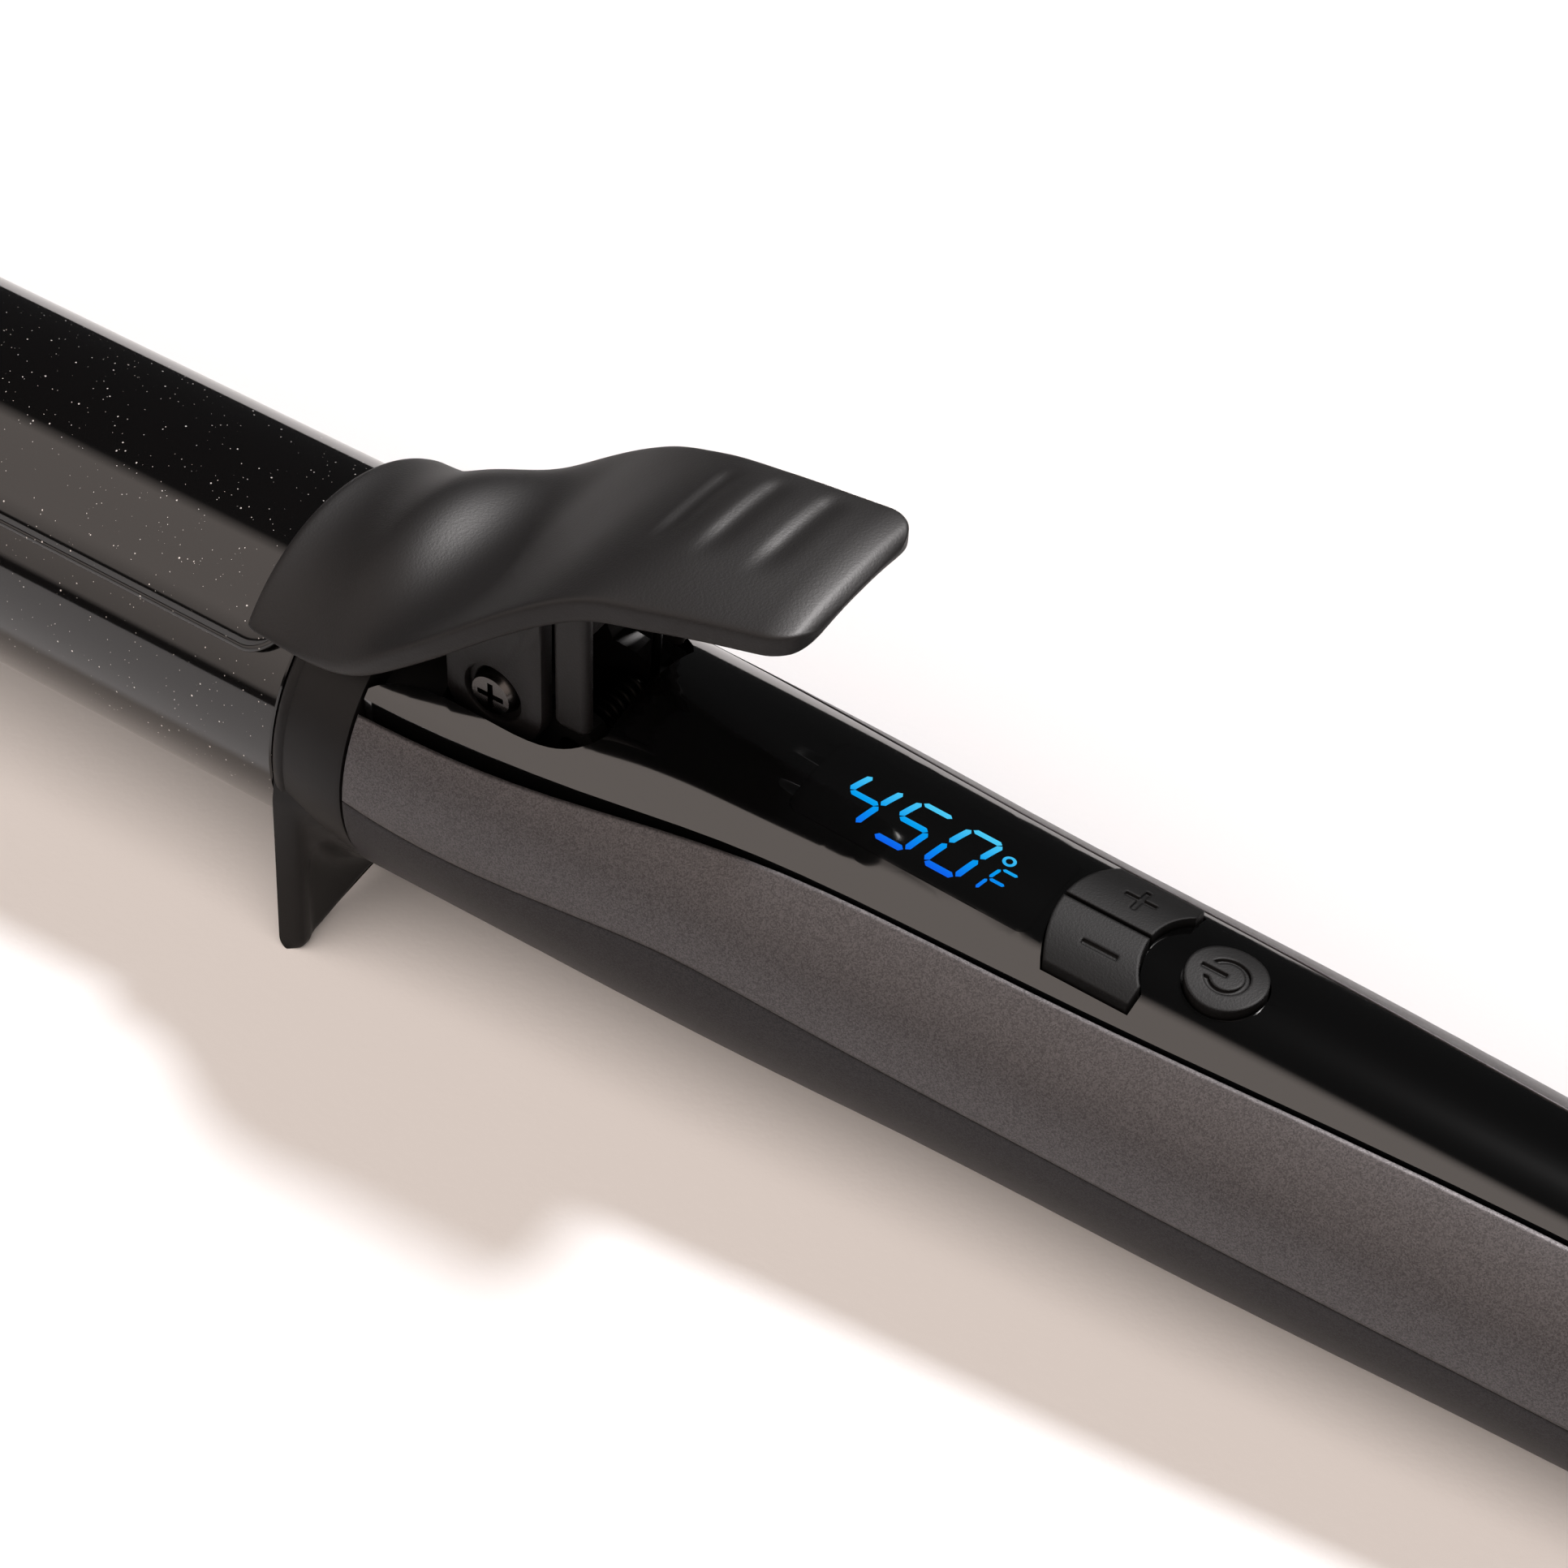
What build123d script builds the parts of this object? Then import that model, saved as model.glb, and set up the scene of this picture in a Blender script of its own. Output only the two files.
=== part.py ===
from build123d import *
import os
from math import atan2, cos, degrees, radians, sin, sqrt

# A 32 mm curling iron. Every piece is drawn in the barrel's frame: X is the barrel's axis, x = 0 is
# the front face of the collar, +X runs to the cord, and +Z is the clip's side. The last section lays
# the finished iron down on its stand foot and the rear of its handle.

# Barrel and its inside
BARREL_R = 16.0
TUBE_WALL = 1.0
TUBE_FRONT = -130.0
TUBE_REAR = -0.2
TUBE_INNER_R = BARREL_R - TUBE_WALL
TIP_END = -148.0
TIP_R = 16.3
SPREADER_FRONT, SPREADER_REAR = -92.0, -32.0
SPREADER_WALL = 1.0
SPREADER_R = TUBE_INNER_R - 0.05
HEATER_HALF = (30.0, 8.0, 0.8)
LEAD_R = 0.8
LEAD_Y = 4.6
SEAT_R = 13.0
SEAT_BORE_R = 6.0

# Collar with its stand foot
COLLAR_LENGTH = 7.9
COLLAR_R = 16.1
FOOT_THICKNESS = 2.5
FOOT_DEPTH = 22.5

# Handle: (distance along its own axis, radius). The axis droops a little from the barrel's.
HANDLE_PROFILE = [
    (7.0, 16.16), (30.0, 15.9), (52.0, 15.5), (66.0, 14.95), (79.0, 14.65), (92.0, 14.45),
    (104.0, 14.1), (116.0, 13.65), (130.0, 13.25), (150.0, 13.05), (170.0, 13.3),
]
HANDLE_FRONT = 8.2
HANDLE_REAR, HANDLE_REAR_R = HANDLE_PROFILE[-1]
DROOP = radians(0.48)
SHELL_WALL = 3.0
COVER_DEPTH = 1.5
COVER_THICKNESS = 1.45
SEAM_GAP = 0.12
# Parting line between the two shells, the same on both sides: (x, z)
SEAM = [
    (8.0, 0.9), (27.0, 0.55), (35.0, 1.5), (42.0, 2.15), (50.0, 2.05), (62.0, 1.2), (84.0, 0.45),
    (128.0, -0.65), (171.0, -1.1),
]
# Edge of the grey shell's recess for the cover, seen from above: (x, half width)
RECESS_EDGE = [
    (8.0, 13.15), (16.0, 12.95), (24.0, 12.5), (31.0, 11.8), (44.0, 10.15), (54.0, 9.2), (72.0, 8.45),
    (88.0, 7.9), (110.0, 6.7), (148.0, 6.3),
]
RECESS_END = 156.0
SHELL_SLOT_END, SHELL_SLOT_HALF_WIDTH = 31.2, 10.3
FRONT_GROOVE = 0.95
REAR_GROOVE = 0.4

# Clip, lever and pivot
CLIP_INNER_R = 16.45
CLIP_SHEET = 1.15
CLIP_HALF_WIDTH = 14.05
CLIP_FRONT, CLIP_REAR = -131.0, -0.6
TONGUE_HALF_WIDTH, TONGUE_REAR = 8.0, 10.5
RIVET_R = 1.5
RIVETS_X = (2.5, 7.5)
PIVOT_X, PIVOT_Z = 19.5, 14.4
EAR_INNER, EAR_OUTER = 6.45, 8.3
PIVOT_R = 1.75
PIVOT_CLEARANCE = 0.06
CHEEK_INNER, CHEEK_OUTER = 4.0, 6.2
BRACKET_LEG_END = -8.2
COIL_X, COIL_Z = 26.5, 10.0
COIL_R, WIRE_R = 2.2, 0.45
COIL_TURNS, COIL_PITCH = 6.75, 0.93
FIXED_LEG, LEVER_LEG = 4.0, 11.0
SPRING_PIN_R = 1.3

# Electronics
BOARD_TOP = 5.0
BOARD_THICKNESS = 1.6
BOARD_HALF_WIDTH = 7.5
BOARD_FRONT, BOARD_REAR = 46.0, 126.0
WINDOW_X, WINDOW_LENGTH, WINDOW_WIDTH = 60.0, 24.0, 9.6
SWITCH_SIDE, SWITCH_HEIGHT, PLUNGER_HEIGHT = 6.0, 3.5, 1.1
KEY_RISE = 0.85
KEY_GAP = 0.2
KEY_FLANGE = 0.5
STEM_R = 1.4
STEM_END = 10.2
POWER_X, POWER_HOLE_R = 88.3, 3.74
PAD_FRONT_R, PAD_FRONT_X = 12.07, 72.6
PAD_HALF_WIDTH = 6.6
PAD_REAR_R = 7.0
STEP_KEY_X, STEP_KEY_Y = 78.2, 3.4
SHELL_SCREWS_X = (38.0, 138.0)
SCREW_R, SCREW_HEAD_R = 1.2, 2.5

# Turning cord outlet
GLAND_BORE_R = 3.5
GLAND_NECK_R = 5.5
GLAND_CLEARANCE = 0.08
GLAND_FRONT, GLAND_REAR = 161.5, 184.0
DISC_REAR, RINGS_FRONT = 158.6, 159.8


# The handle's axis crosses the barrel's at the handle's front
HANDLE_PLANE = Plane(
    origin=(0, 0, HANDLE_FRONT * sin(DROOP)), x_dir=(cos(DROOP), 0, -sin(DROOP)), z_dir=(0, -1, 0)
)
HANDLE_AXIS = Axis(HANDLE_PLANE.origin, HANDLE_PLANE.x_dir)


def handle_core(inset):
    """The handle's round tapering body, with its whole profile drawn in by the inset."""
    profile = [(x, radius - inset) for x, radius in HANDLE_PROFILE]
    with BuildPart() as core:
        with BuildSketch(HANDLE_PLANE):
            with BuildLine():
                Spline(*profile)
                Polyline(profile[-1], (profile[-1][0], 0), (profile[0][0], 0), profile[0])
            make_face()
        revolve(axis=HANDLE_AXIS)
        split(bisect_by=Plane.YZ.offset(HANDLE_FRONT), keep=Keep.TOP)
    return core.part


def half_space_along_seam(side):
    """Everything above (side 1) or below (side -1) the parting line, less half of its gap."""
    line = [(x, z + side * SEAM_GAP / 2) for x, z in SEAM]
    with BuildPart() as region:
        with BuildSketch(Plane.XZ):
            with BuildLine():
                Spline(*line)
                Polyline(line[-1], (line[-1][0], side * 40), (line[0][0], side * 40), line[0])
            make_face()
        extrude(amount=25, both=True)
    return region.part


def plan_prism(sketch, bottom=0.0, top=30.0):
    """A plan outline carried straight up from one height to another."""
    with BuildPart() as prism:
        add(Plane.XY.offset(bottom) * sketch)
        extrude(amount=top - bottom)
    return prism.part


def recess_plan(groove_share):
    """Plan of the cover's recess, drawn in by a share of the groove that runs round the cover."""
    edge = []
    for x, half in RECESS_EDGE:
        along = min(max((x - 24.0) / 30.0, 0.0), 1.0)
        groove = FRONT_GROOVE + (REAR_GROOVE - FRONT_GROOVE) * along
        edge.append((x, half - groove_share * groove))
    end = (RECESS_END - groove_share * REAR_GROOVE, 0)
    with BuildSketch() as plan:
        with BuildLine():
            Spline(*edge)
            Spline(edge[-1], end, tangents=[(1, 0), (0, -1)])
            Polyline(end, (edge[0][0], 0), edge[0])
        make_face()
        mirror(about=Plane.XZ)
    return plan.sketch


def lever_slot_plan():
    """Plan of the cover's opening that the lever's ears go down through."""
    edge = [(8.0, 11.7), (10.5, 10.4), (14.0, 9.8), (20.0, 9.7), (25.0, 9.6), (28.2, 8.8), (30.0, 7.4)]
    with BuildSketch() as plan:
        with BuildLine():
            Spline(*edge)
            Polyline(edge[-1], (30.6, 6.6), (30.6, 0), (8.0, 0), edge[0])
        make_face()
        mirror(about=Plane.XZ)
    return plan.sketch


def shell_slot_plan():
    """Plan of the wider opening under it, through the upper shell."""
    with BuildSketch() as plan:
        with Locations((SHELL_SLOT_END, 0)):
            RectangleRounded(30, 2 * SHELL_SLOT_HALF_WIDTH, 3.0, align=(Align.MAX, Align.CENTER))
    return plan.sketch


def step_key_plan(side, grow):
    """Plan of one of the two temperature keys: a convex front and a rear hollowed round the power key."""
    centre_x = PAD_FRONT_X + PAD_FRONT_R
    front = [(centre_x - sqrt(PAD_FRONT_R**2 - y * y), side * y) for y in (0, 3.3, PAD_HALF_WIDTH)]
    rear = [(POWER_X - sqrt(PAD_REAR_R**2 - y * y), side * y) for y in (4.6, 2.3, 0)]
    with BuildSketch() as plan:
        with BuildLine():
            ThreePointArc(*front)
            Polyline(front[-1], (rear[0][0] - 0.1, side * PAD_HALF_WIDTH), rear[0])
            ThreePointArc(*rear)
            Line(rear[-1], front[0])
        make_face()
        if grow:
            offset(amount=grow)
    return plan.sketch


def half_plan(side, gap):
    """Plan of one side of the handle, from the gap outwards."""
    with BuildSketch() as plan:
        with Locations((STEP_KEY_X, side * (gap + 10))):
            Rectangle(40, 20)
    return plan.sketch


def circle_plan(x, y, radius):
    """Plan of a round hole or post."""
    with BuildSketch() as plan:
        with Locations((x, y)):
            Circle(radius)
    return plan.sketch


def window_plan(gap):
    """Plan of the display's window."""
    with BuildSketch() as plan:
        with Locations((WINDOW_X, 0)):
            RectangleRounded(WINDOW_LENGTH - 2 * gap, WINDOW_WIDTH - 2 * gap, 1.0)
    return plan.sketch


# One digit's seven segments: start and end in digit widths and heights, from the lower left
SEGMENTS = {
    "a": ((0, 2), (1, 2)),
    "b": ((1, 1), (1, 2)),
    "c": ((1, 0), (1, 1)),
    "d": ((0, 0), (1, 0)),
    "e": ((0, 0), (0, 1)),
    "f": ((0, 1), (0, 2)),
    "g": ((0, 1), (1, 1)),
}
DIGIT_WIDTH, DIGIT_HALF_HEIGHT, DIGIT_SLANT, STROKE = 3.1, 2.7, 0.28, 0.62


def digit_plan(lit, x, y, scale):
    """Lit segments of one slanted digit: each a bar with pointed ends, a little short of its joints."""
    with BuildSketch() as plan:
        for name in lit:
            ends = []
            for u, v in SEGMENTS[name]:
                height = v * DIGIT_HALF_HEIGHT * scale
                ends.append((x + u * DIGIT_WIDTH * scale + height * DIGIT_SLANT, y + height))
            (x0, y0), (x1, y1) = ends
            length = sqrt((x1 - x0) ** 2 + (y1 - y0) ** 2)
            half = STROKE * scale / 2
            reach = length / 2 - 0.12
            turn = degrees(atan2(y1 - y0, x1 - x0))
            with Locations(Location(((x0 + x1) / 2, (y0 + y1) / 2, 0), (0, 0, turn))):
                Polygon(
                    (-reach, 0), (-reach + half, -half), (reach - half, -half),
                    (reach, 0), (reach - half, half), (-reach + half, half), align=None,
                )
    return plan.sketch


OUTER = handle_core(0)
RECESS_FLOOR = handle_core(COVER_DEPTH)
COVER_UNDERSIDE = handle_core(COVER_THICKNESS)
INNER = handle_core(SHELL_WALL)
KEY_CROWN = handle_core(-KEY_RISE)
ENGRAVING_FLOOR = handle_core(0.25 - KEY_RISE)
FLANGE_TOP = handle_core(COVER_DEPTH + 0.12)
FLANGE_UNDERSIDE = handle_core(COVER_DEPTH + 0.9)

# Plane that the iron rests on, through the foot's two tips and the rear of the handle's underside
FOOT_TIP = (FOOT_THICKNESS / 2, -FOOT_DEPTH + 0.1)
HEEL = HANDLE_PLANE.from_local_coords((HANDLE_REAR, -HANDLE_REAR_R, 0))
REST_TILT = atan2(HEEL.Z - FOOT_TIP[1], HEEL.X - FOOT_TIP[0])
FLOOR = Plane(
    origin=(FOOT_TIP[0], 0, FOOT_TIP[1]),
    x_dir=(cos(REST_TILT), 0, sin(REST_TILT)),
    z_dir=(-sin(REST_TILT), 0, cos(REST_TILT)),
)

# ---------------------------------------------------------------- barrel

with BuildPart() as barrel_tube:
    with BuildSketch(Plane.YZ.offset(TUBE_FRONT)):
        Circle(BARREL_R)
        Circle(TUBE_INNER_R, mode=Mode.SUBTRACT)
    extrude(amount=TUBE_REAR - TUBE_FRONT)

TIP_SCREW_R = 1.4
TIP_BRIDGE_X = TUBE_FRONT + 9.5
with BuildPart() as cool_tip:
    with BuildSketch(Plane.XZ):
        with BuildLine():
            Line((TUBE_FRONT - 0.1, TUBE_INNER_R - 0.05), (TUBE_FRONT - 0.1, TIP_R))
            Line((TUBE_FRONT - 0.1, TIP_R), (TIP_END + 9, TIP_R - 0.3))
            Spline(
                (TIP_END + 9, TIP_R - 0.3), (TIP_END + 2.6, 13.2), (TIP_END, 8.0),
                tangents=[(-1, -0.02), (0, -1)],
            )
            Polyline(
                (TIP_END, 8.0), (TIP_END, 3.2), (TIP_END + 2.0, 3.2), (TIP_END + 2.0, TIP_SCREW_R + 0.2),
                (TUBE_FRONT - 2, TIP_SCREW_R + 0.2), (TUBE_FRONT - 2, 3.8), (TIP_END + 3.6, 3.8),
                (TIP_END + 3.6, 9.0), (TIP_END + 7, 12.6), (TUBE_FRONT + 8, 13.0),
                (TUBE_FRONT + 8, TUBE_INNER_R - 0.05), (TUBE_FRONT - 0.1, TUBE_INNER_R - 0.05),
            )
        make_face()
    revolve(axis=Axis.X)

with BuildPart() as tip_bridge:
    with BuildSketch(Plane.YZ.offset(TIP_BRIDGE_X)):
        Circle(TUBE_INNER_R - 0.05)
        Circle(TIP_SCREW_R, mode=Mode.SUBTRACT)
        with Locations((8, 0), (-8, 0)):
            Circle(3.5, mode=Mode.SUBTRACT)
    extrude(amount=1.2)

with BuildPart() as tip_screw:
    with BuildSketch(Plane.XZ):
        Polygon(
            (TIP_END + 0.4, 0), (TIP_END + 0.4, 2.4), (TIP_END + 2.0, 3.0), (TIP_END + 2.0, TIP_SCREW_R),
            (TIP_BRIDGE_X + 3, TIP_SCREW_R), (TIP_BRIDGE_X + 4, 0.6), (TIP_BRIDGE_X + 4, 0), align=None,
        )
    revolve(axis=Axis.X)
    with BuildSketch(Plane.YZ.offset(TIP_END + 0.4)):
        Rectangle(3.0, 0.8)
        Rectangle(0.8, 3.0)
    extrude(amount=0.9, mode=Mode.SUBTRACT)


def spreader(side):
    """A half-round hollow aluminium block, its flat towards the heater."""
    flat = (HEATER_HALF[2] + 0.1) if side > 0 else (HEATER_HALF[2] + 2.1)
    with BuildPart() as block:
        with BuildSketch(Plane.YZ.offset(SPREADER_FRONT)):
            Circle(SPREADER_R)
            with Locations((0, -side * (20 - flat))):
                Rectangle(40, 40, mode=Mode.SUBTRACT)
            offset(amount=-SPREADER_WALL, mode=Mode.SUBTRACT)
        extrude(amount=SPREADER_REAR - SPREADER_FRONT)
    return block


heat_spreader_upper = spreader(1)
heat_spreader_lower = spreader(-1)
HEATER_X = (SPREADER_FRONT + SPREADER_REAR) / 2

with BuildPart() as heater_plate:
    with Locations((HEATER_X, 0, 0)):
        Box(2 * HEATER_HALF[0], 2 * HEATER_HALF[1], 2 * HEATER_HALF[2])
    fillet(heater_plate.edges().filter_by(Axis.Z), 1.0)

# Wavy leaf between the heater and the lower block: (x from the heater's middle, z)
WAVES = 6
with BuildPart() as spreader_spring:
    step = 50.0 / WAVES
    crest = [
        (HEATER_X - 25 + step * i / 2, -HEATER_HALF[2] - (0.25 if i % 2 else 1.75))
        for i in range(2 * WAVES + 1)
    ]
    with BuildSketch(Plane.XZ):
        with BuildLine():
            Spline(*crest)
            Spline(*[(x, z - 0.2) for x, z in crest])
            Line(crest[0], (crest[0][0], crest[0][1] - 0.2))
            Line(crest[-1], (crest[-1][0], crest[-1][1] - 0.2))
        make_face()
    extrude(amount=5, both=True)

with BuildPart() as thermistor:
    with Locations(Location((SPREADER_REAR - 8, 11.0, -0.4), (0, 90, 0))):
        Cylinder(0.9, 16)
        Cylinder(0.35, 22, align=(Align.CENTER, Align.CENTER, Align.MIN))

LEAD_Z = BOARD_TOP - BOARD_THICKNESS - LEAD_R
LEAD_ROUTE = [(HEATER_X + HEATER_HALF[0], 0), (31, 0), (42, LEAD_Z), (52, LEAD_Z)]
with BuildPart() as heater_leads:
    for side in (-1, 1):
        with BuildLine() as route:
            FilletPolyline(*[(x, side * LEAD_Y, z) for x, z in LEAD_ROUTE], radius=10)
        with BuildSketch(Plane.YZ.offset(LEAD_ROUTE[0][0])):
            with Locations((side * LEAD_Y, 0)):
                Circle(LEAD_R)
        sweep(path=route.line)

with BuildPart() as barrel_seat:
    with BuildSketch(Plane.XZ):
        Polygon(
            (-16, SEAT_BORE_R), (-16, TUBE_INNER_R - 0.05), (TUBE_REAR, TUBE_INNER_R - 0.05),
            (TUBE_REAR, SEAT_R), (13.5, SEAT_R), (13.5, SEAT_BORE_R), align=None,
        )
    revolve(axis=Axis.X)

# ---------------------------------------------------------------- collar and stand foot

with BuildPart() as collar_stand:
    with BuildSketch(Plane.XZ):
        Polygon(
            (0, SEAT_R + 0.05), (0, COLLAR_R - 0.15), (0.25, COLLAR_R + 0.1), (0.75, COLLAR_R + 0.1),
            (1.0, COLLAR_R), (COLLAR_LENGTH, COLLAR_R), (COLLAR_LENGTH, SEAT_R + 0.05), align=None,
        )
    revolve(axis=Axis.X)
    # The foot's two sides flare a little, and its lower edge rises to a shallow arch between the tips
    with BuildSketch(Plane.YZ):
        with BuildLine():
            Polyline((0, 0), (COLLAR_R, 0), (16.35, -4), (17.3, -FOOT_DEPTH + 0.9), (16.5, -FOOT_DEPTH))
            Polyline((16.5, -FOOT_DEPTH), (15.2, -FOOT_DEPTH + 0.1), (6.0, -20.0))
            ThreePointArc((6.0, -20.0), (3.0, -19.6), (0, -19.5))
            Line((0, -19.5), (0, 0))
        make_face()
        mirror(about=Plane.YZ)
        Circle(SEAT_R + 0.05, mode=Mode.SUBTRACT)
    extrude(amount=FOOT_THICKNESS)
    split(bisect_by=FLOOR, keep=Keep.TOP)

# ---------------------------------------------------------------- handle shells and cover

ABOVE = half_space_along_seam(1)
BELOW = half_space_along_seam(-1)

with BuildPart() as lower_shell:
    add(OUTER)
    add(INNER, mode=Mode.SUBTRACT)
    for x in SHELL_SCREWS_X:
        with Locations((x, 0, -14.0)):
            Cylinder(3.2, 20, align=(Align.CENTER, Align.CENTER, Align.MIN))
    add(BELOW, mode=Mode.INTERSECT)
    add(OUTER, mode=Mode.INTERSECT)
    for x in SHELL_SCREWS_X:
        with Locations((x, 0, -20)):
            Cylinder(2.7, 10.5, align=(Align.CENTER, Align.CENTER, Align.MIN), mode=Mode.SUBTRACT)
            Cylinder(SCREW_R + 0.2, 30, align=(Align.CENTER, Align.CENTER, Align.MIN), mode=Mode.SUBTRACT)

with BuildPart() as upper_shell:
    add(OUTER)
    add(INNER, mode=Mode.SUBTRACT)
    for x in SHELL_SCREWS_X:
        with Locations((x, 0, -2.0)):
            Cylinder(2.8, 16, align=(Align.CENTER, Align.CENTER, Align.MIN))
    add(ABOVE, mode=Mode.INTERSECT)
    for x in SHELL_SCREWS_X:
        with Locations((x, 0, -3)):
            Cylinder(SCREW_R, 12.5, align=(Align.CENTER, Align.CENTER, Align.MIN), mode=Mode.SUBTRACT)
    add(plan_prism(recess_plan(0)) - RECESS_FLOOR, mode=Mode.SUBTRACT)
    add(plan_prism(shell_slot_plan()), mode=Mode.SUBTRACT)
    add(plan_prism(window_plan(-0.1)), mode=Mode.SUBTRACT)
    add(plan_prism(circle_plan(POWER_X, 0, POWER_HOLE_R + 1.0)), mode=Mode.SUBTRACT)
    for side in (-1, 1):
        add(plan_prism(step_key_plan(side, 0.8)), mode=Mode.SUBTRACT)

with BuildPart() as top_cover:
    add(plan_prism(recess_plan(1)))
    add(OUTER, mode=Mode.INTERSECT)
    add(COVER_UNDERSIDE, mode=Mode.SUBTRACT)
    add(plan_prism(lever_slot_plan()), mode=Mode.SUBTRACT)
    add(plan_prism(window_plan(0)), mode=Mode.SUBTRACT)
    add(plan_prism(circle_plan(POWER_X, 0, POWER_HOLE_R)), mode=Mode.SUBTRACT)
    for side in (-1, 1):
        add(plan_prism(step_key_plan(side, 0)), mode=Mode.SUBTRACT)

with BuildPart() as shell_screws:
    for x in SHELL_SCREWS_X:
        with Locations((x, 0, -9.5)):
            Cylinder(SCREW_R, 17, align=(Align.CENTER, Align.CENTER, Align.MIN))
            Cylinder(SCREW_HEAD_R, 1.8, align=(Align.CENTER, Align.CENTER, Align.MAX))
        with Locations((x, 0, -11.3)):
            Box(3.0, 0.7, 1.0, align=(Align.CENTER, Align.CENTER, Align.MIN), mode=Mode.SUBTRACT)
            Box(0.7, 3.0, 1.0, align=(Align.CENTER, Align.CENTER, Align.MIN), mode=Mode.SUBTRACT)

# ---------------------------------------------------------------- clip

with BuildPart() as clip_plate:
    with BuildSketch(Plane.YZ.offset(CLIP_FRONT)):
        Circle(CLIP_INNER_R + CLIP_SHEET)
        Circle(CLIP_INNER_R, mode=Mode.SUBTRACT)
    extrude(amount=TONGUE_REAR - CLIP_FRONT)
    with BuildSketch():
        with Locations(((CLIP_FRONT + CLIP_REAR) / 2, 0)):
            RectangleRounded(CLIP_REAR - CLIP_FRONT, 2 * CLIP_HALF_WIDTH, 4.5)
        with Locations((CLIP_REAR - 6, 0)):
            Rectangle(TONGUE_REAR - CLIP_REAR + 6, 2 * TONGUE_HALF_WIDTH, align=(Align.MIN, Align.CENTER))
    extrude(amount=30, mode=Mode.INTERSECT)
    with Locations(*[(x, 0, 12) for x in RIVETS_X]):
        Cylinder(RIVET_R, 10, align=(Align.CENTER, Align.CENTER, Align.MIN), mode=Mode.SUBTRACT)

with BuildPart() as clip_rivets:
    with Locations(*[(x, 0, CLIP_INNER_R + 0.1) for x in RIVETS_X]):
        Cylinder(RIVET_R, 2.9, align=(Align.CENTER, Align.CENTER, Align.MIN))

# Lever sections: (x, half width, height of its lower edge, side wall, crown height, then the hollow's
# half width, edge height and crown height)
LEVER_SECTIONS = [
    (-3.8, 14.2, 13.9, 0.2, 20.2, 12.35, 12.75, 17.72),
    (0.2, 14.4, 13.8, 0.3, 20.5, 12.35, 12.75, 17.72),
    (4.2, 14.8, 14.2, 0.4, 21.1, 12.6, 12.95, 18.05),
    (8.2, 15.6, 15.7, 0.7, 22.8, 13.2, 14.7, 20.0),
    (12.2, 16.3, 18.3, 1.1, 25.2, 13.8, 17.9, 22.5),
    (16.2, 16.0, 21.3, 1.5, 27.2, 13.5, 21.2, 24.6),
    (20.2, 15.1, 24.3, 1.9, 29.1, 12.6, 24.3, 26.5),
    (24.2, 13.8, 27.3, 2.1, 31.1, 11.3, 27.3, 28.4),
    (28.2, 12.3, 29.9, 2.3, 33.3, 10.0, 29.9, 30.6),
    (32.2, 11.3, 31.8, 2.4, 35.3, 9.1, 31.8, 32.6),
    (36.2, 10.9, 32.9, 2.4, 36.8, 8.8, 32.9, 34.0),
    (40.2, 10.5, 33.9, 2.4, 37.9, 8.5, 33.9, 35.0),
    (44.2, 10.1, 34.8, 2.4, 38.7, 8.2, 34.8, 35.8),
    (48.2, 9.8, 35.7, 2.4, 39.4, 7.9, 35.7, 36.5),
    (52.2, 9.4, 36.6, 2.3, 39.9, 7.6, 36.6, 37.1),
]
LEVER_TIP = LEVER_SECTIONS[-1][0]


def ear_profile(points, inner, outer):
    """A flat plate on both sides of the lever, from a profile in X and Z."""
    with BuildPart() as plates:
        for start in (inner, -outer):
            with BuildSketch(Plane.XZ.offset(-start)):
                Polygon(*points, align=None)
            extrude(amount=-(outer - inner))
    return plates.part


EARS = ear_profile(
    [
        (14.4, 23.4), (14.4, 15.5), (15.4, 12.4), (17.4, 10.0), (19.5, 9.3), (22.8, 9.9), (24.4, 11.3),
        (24.9, 13.2), (24.9, 29.4),
    ],
    EAR_INNER, EAR_OUTER,
)
POSTS = ear_profile(
    [(25.8, 30.0), (25.8, 14.4), (26.3, 13.9), (27.6, 13.9), (28.1, 14.4), (28.1, 31.2)], 6.5, 7.6
)

with BuildPart() as clip_lever:
    for x, half, edge, wall, crown, in_half, in_edge, in_crown in LEVER_SECTIONS:
        with BuildSketch(Plane.YZ.offset(x)):
            with BuildLine():
                Line((half, edge), (half, edge + wall))
                ThreePointArc((half, edge + wall), (0, crown), (-half, edge + wall))
                Line((-half, edge + wall), (-half, edge))
                Line((-half, edge), (-in_half, in_edge))
                ThreePointArc((-in_half, in_edge), (0, in_crown), (in_half, in_edge))
                Line((in_half, in_edge), (half, edge))
            make_face()
    loft()
    # The pad's free end is rounded at its corners, and the front edge bows forward over the clip
    with BuildSketch():
        with Locations((LEVER_TIP - 0.2, 0)):
            RectangleRounded(110, 36, 6.5, align=(Align.MAX, Align.CENTER))
    extrude(amount=45, mode=Mode.INTERSECT)
    add(EARS)
    add(POSTS)
    with Locations((27.4, 0, 19.5)):
        Box(1.4, 15.0, 10.5, align=(Align.CENTER, Align.CENTER, Align.MIN))
    with Locations(*[(x, 0, 15) for x in RIVETS_X]):
        Cylinder(RIVET_R, 4.5, align=(Align.CENTER, Align.CENTER, Align.MIN), mode=Mode.SUBTRACT)
    for side in (-1, 1):
        with Locations(Location((PIVOT_X, side * EAR_OUTER, PIVOT_Z), (side * 90, 0, 0))):
            Cylinder(3.0, 2 * 0.9, mode=Mode.SUBTRACT)
            Cylinder(PIVOT_R + PIVOT_CLEARANCE, 10, mode=Mode.SUBTRACT)

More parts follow.
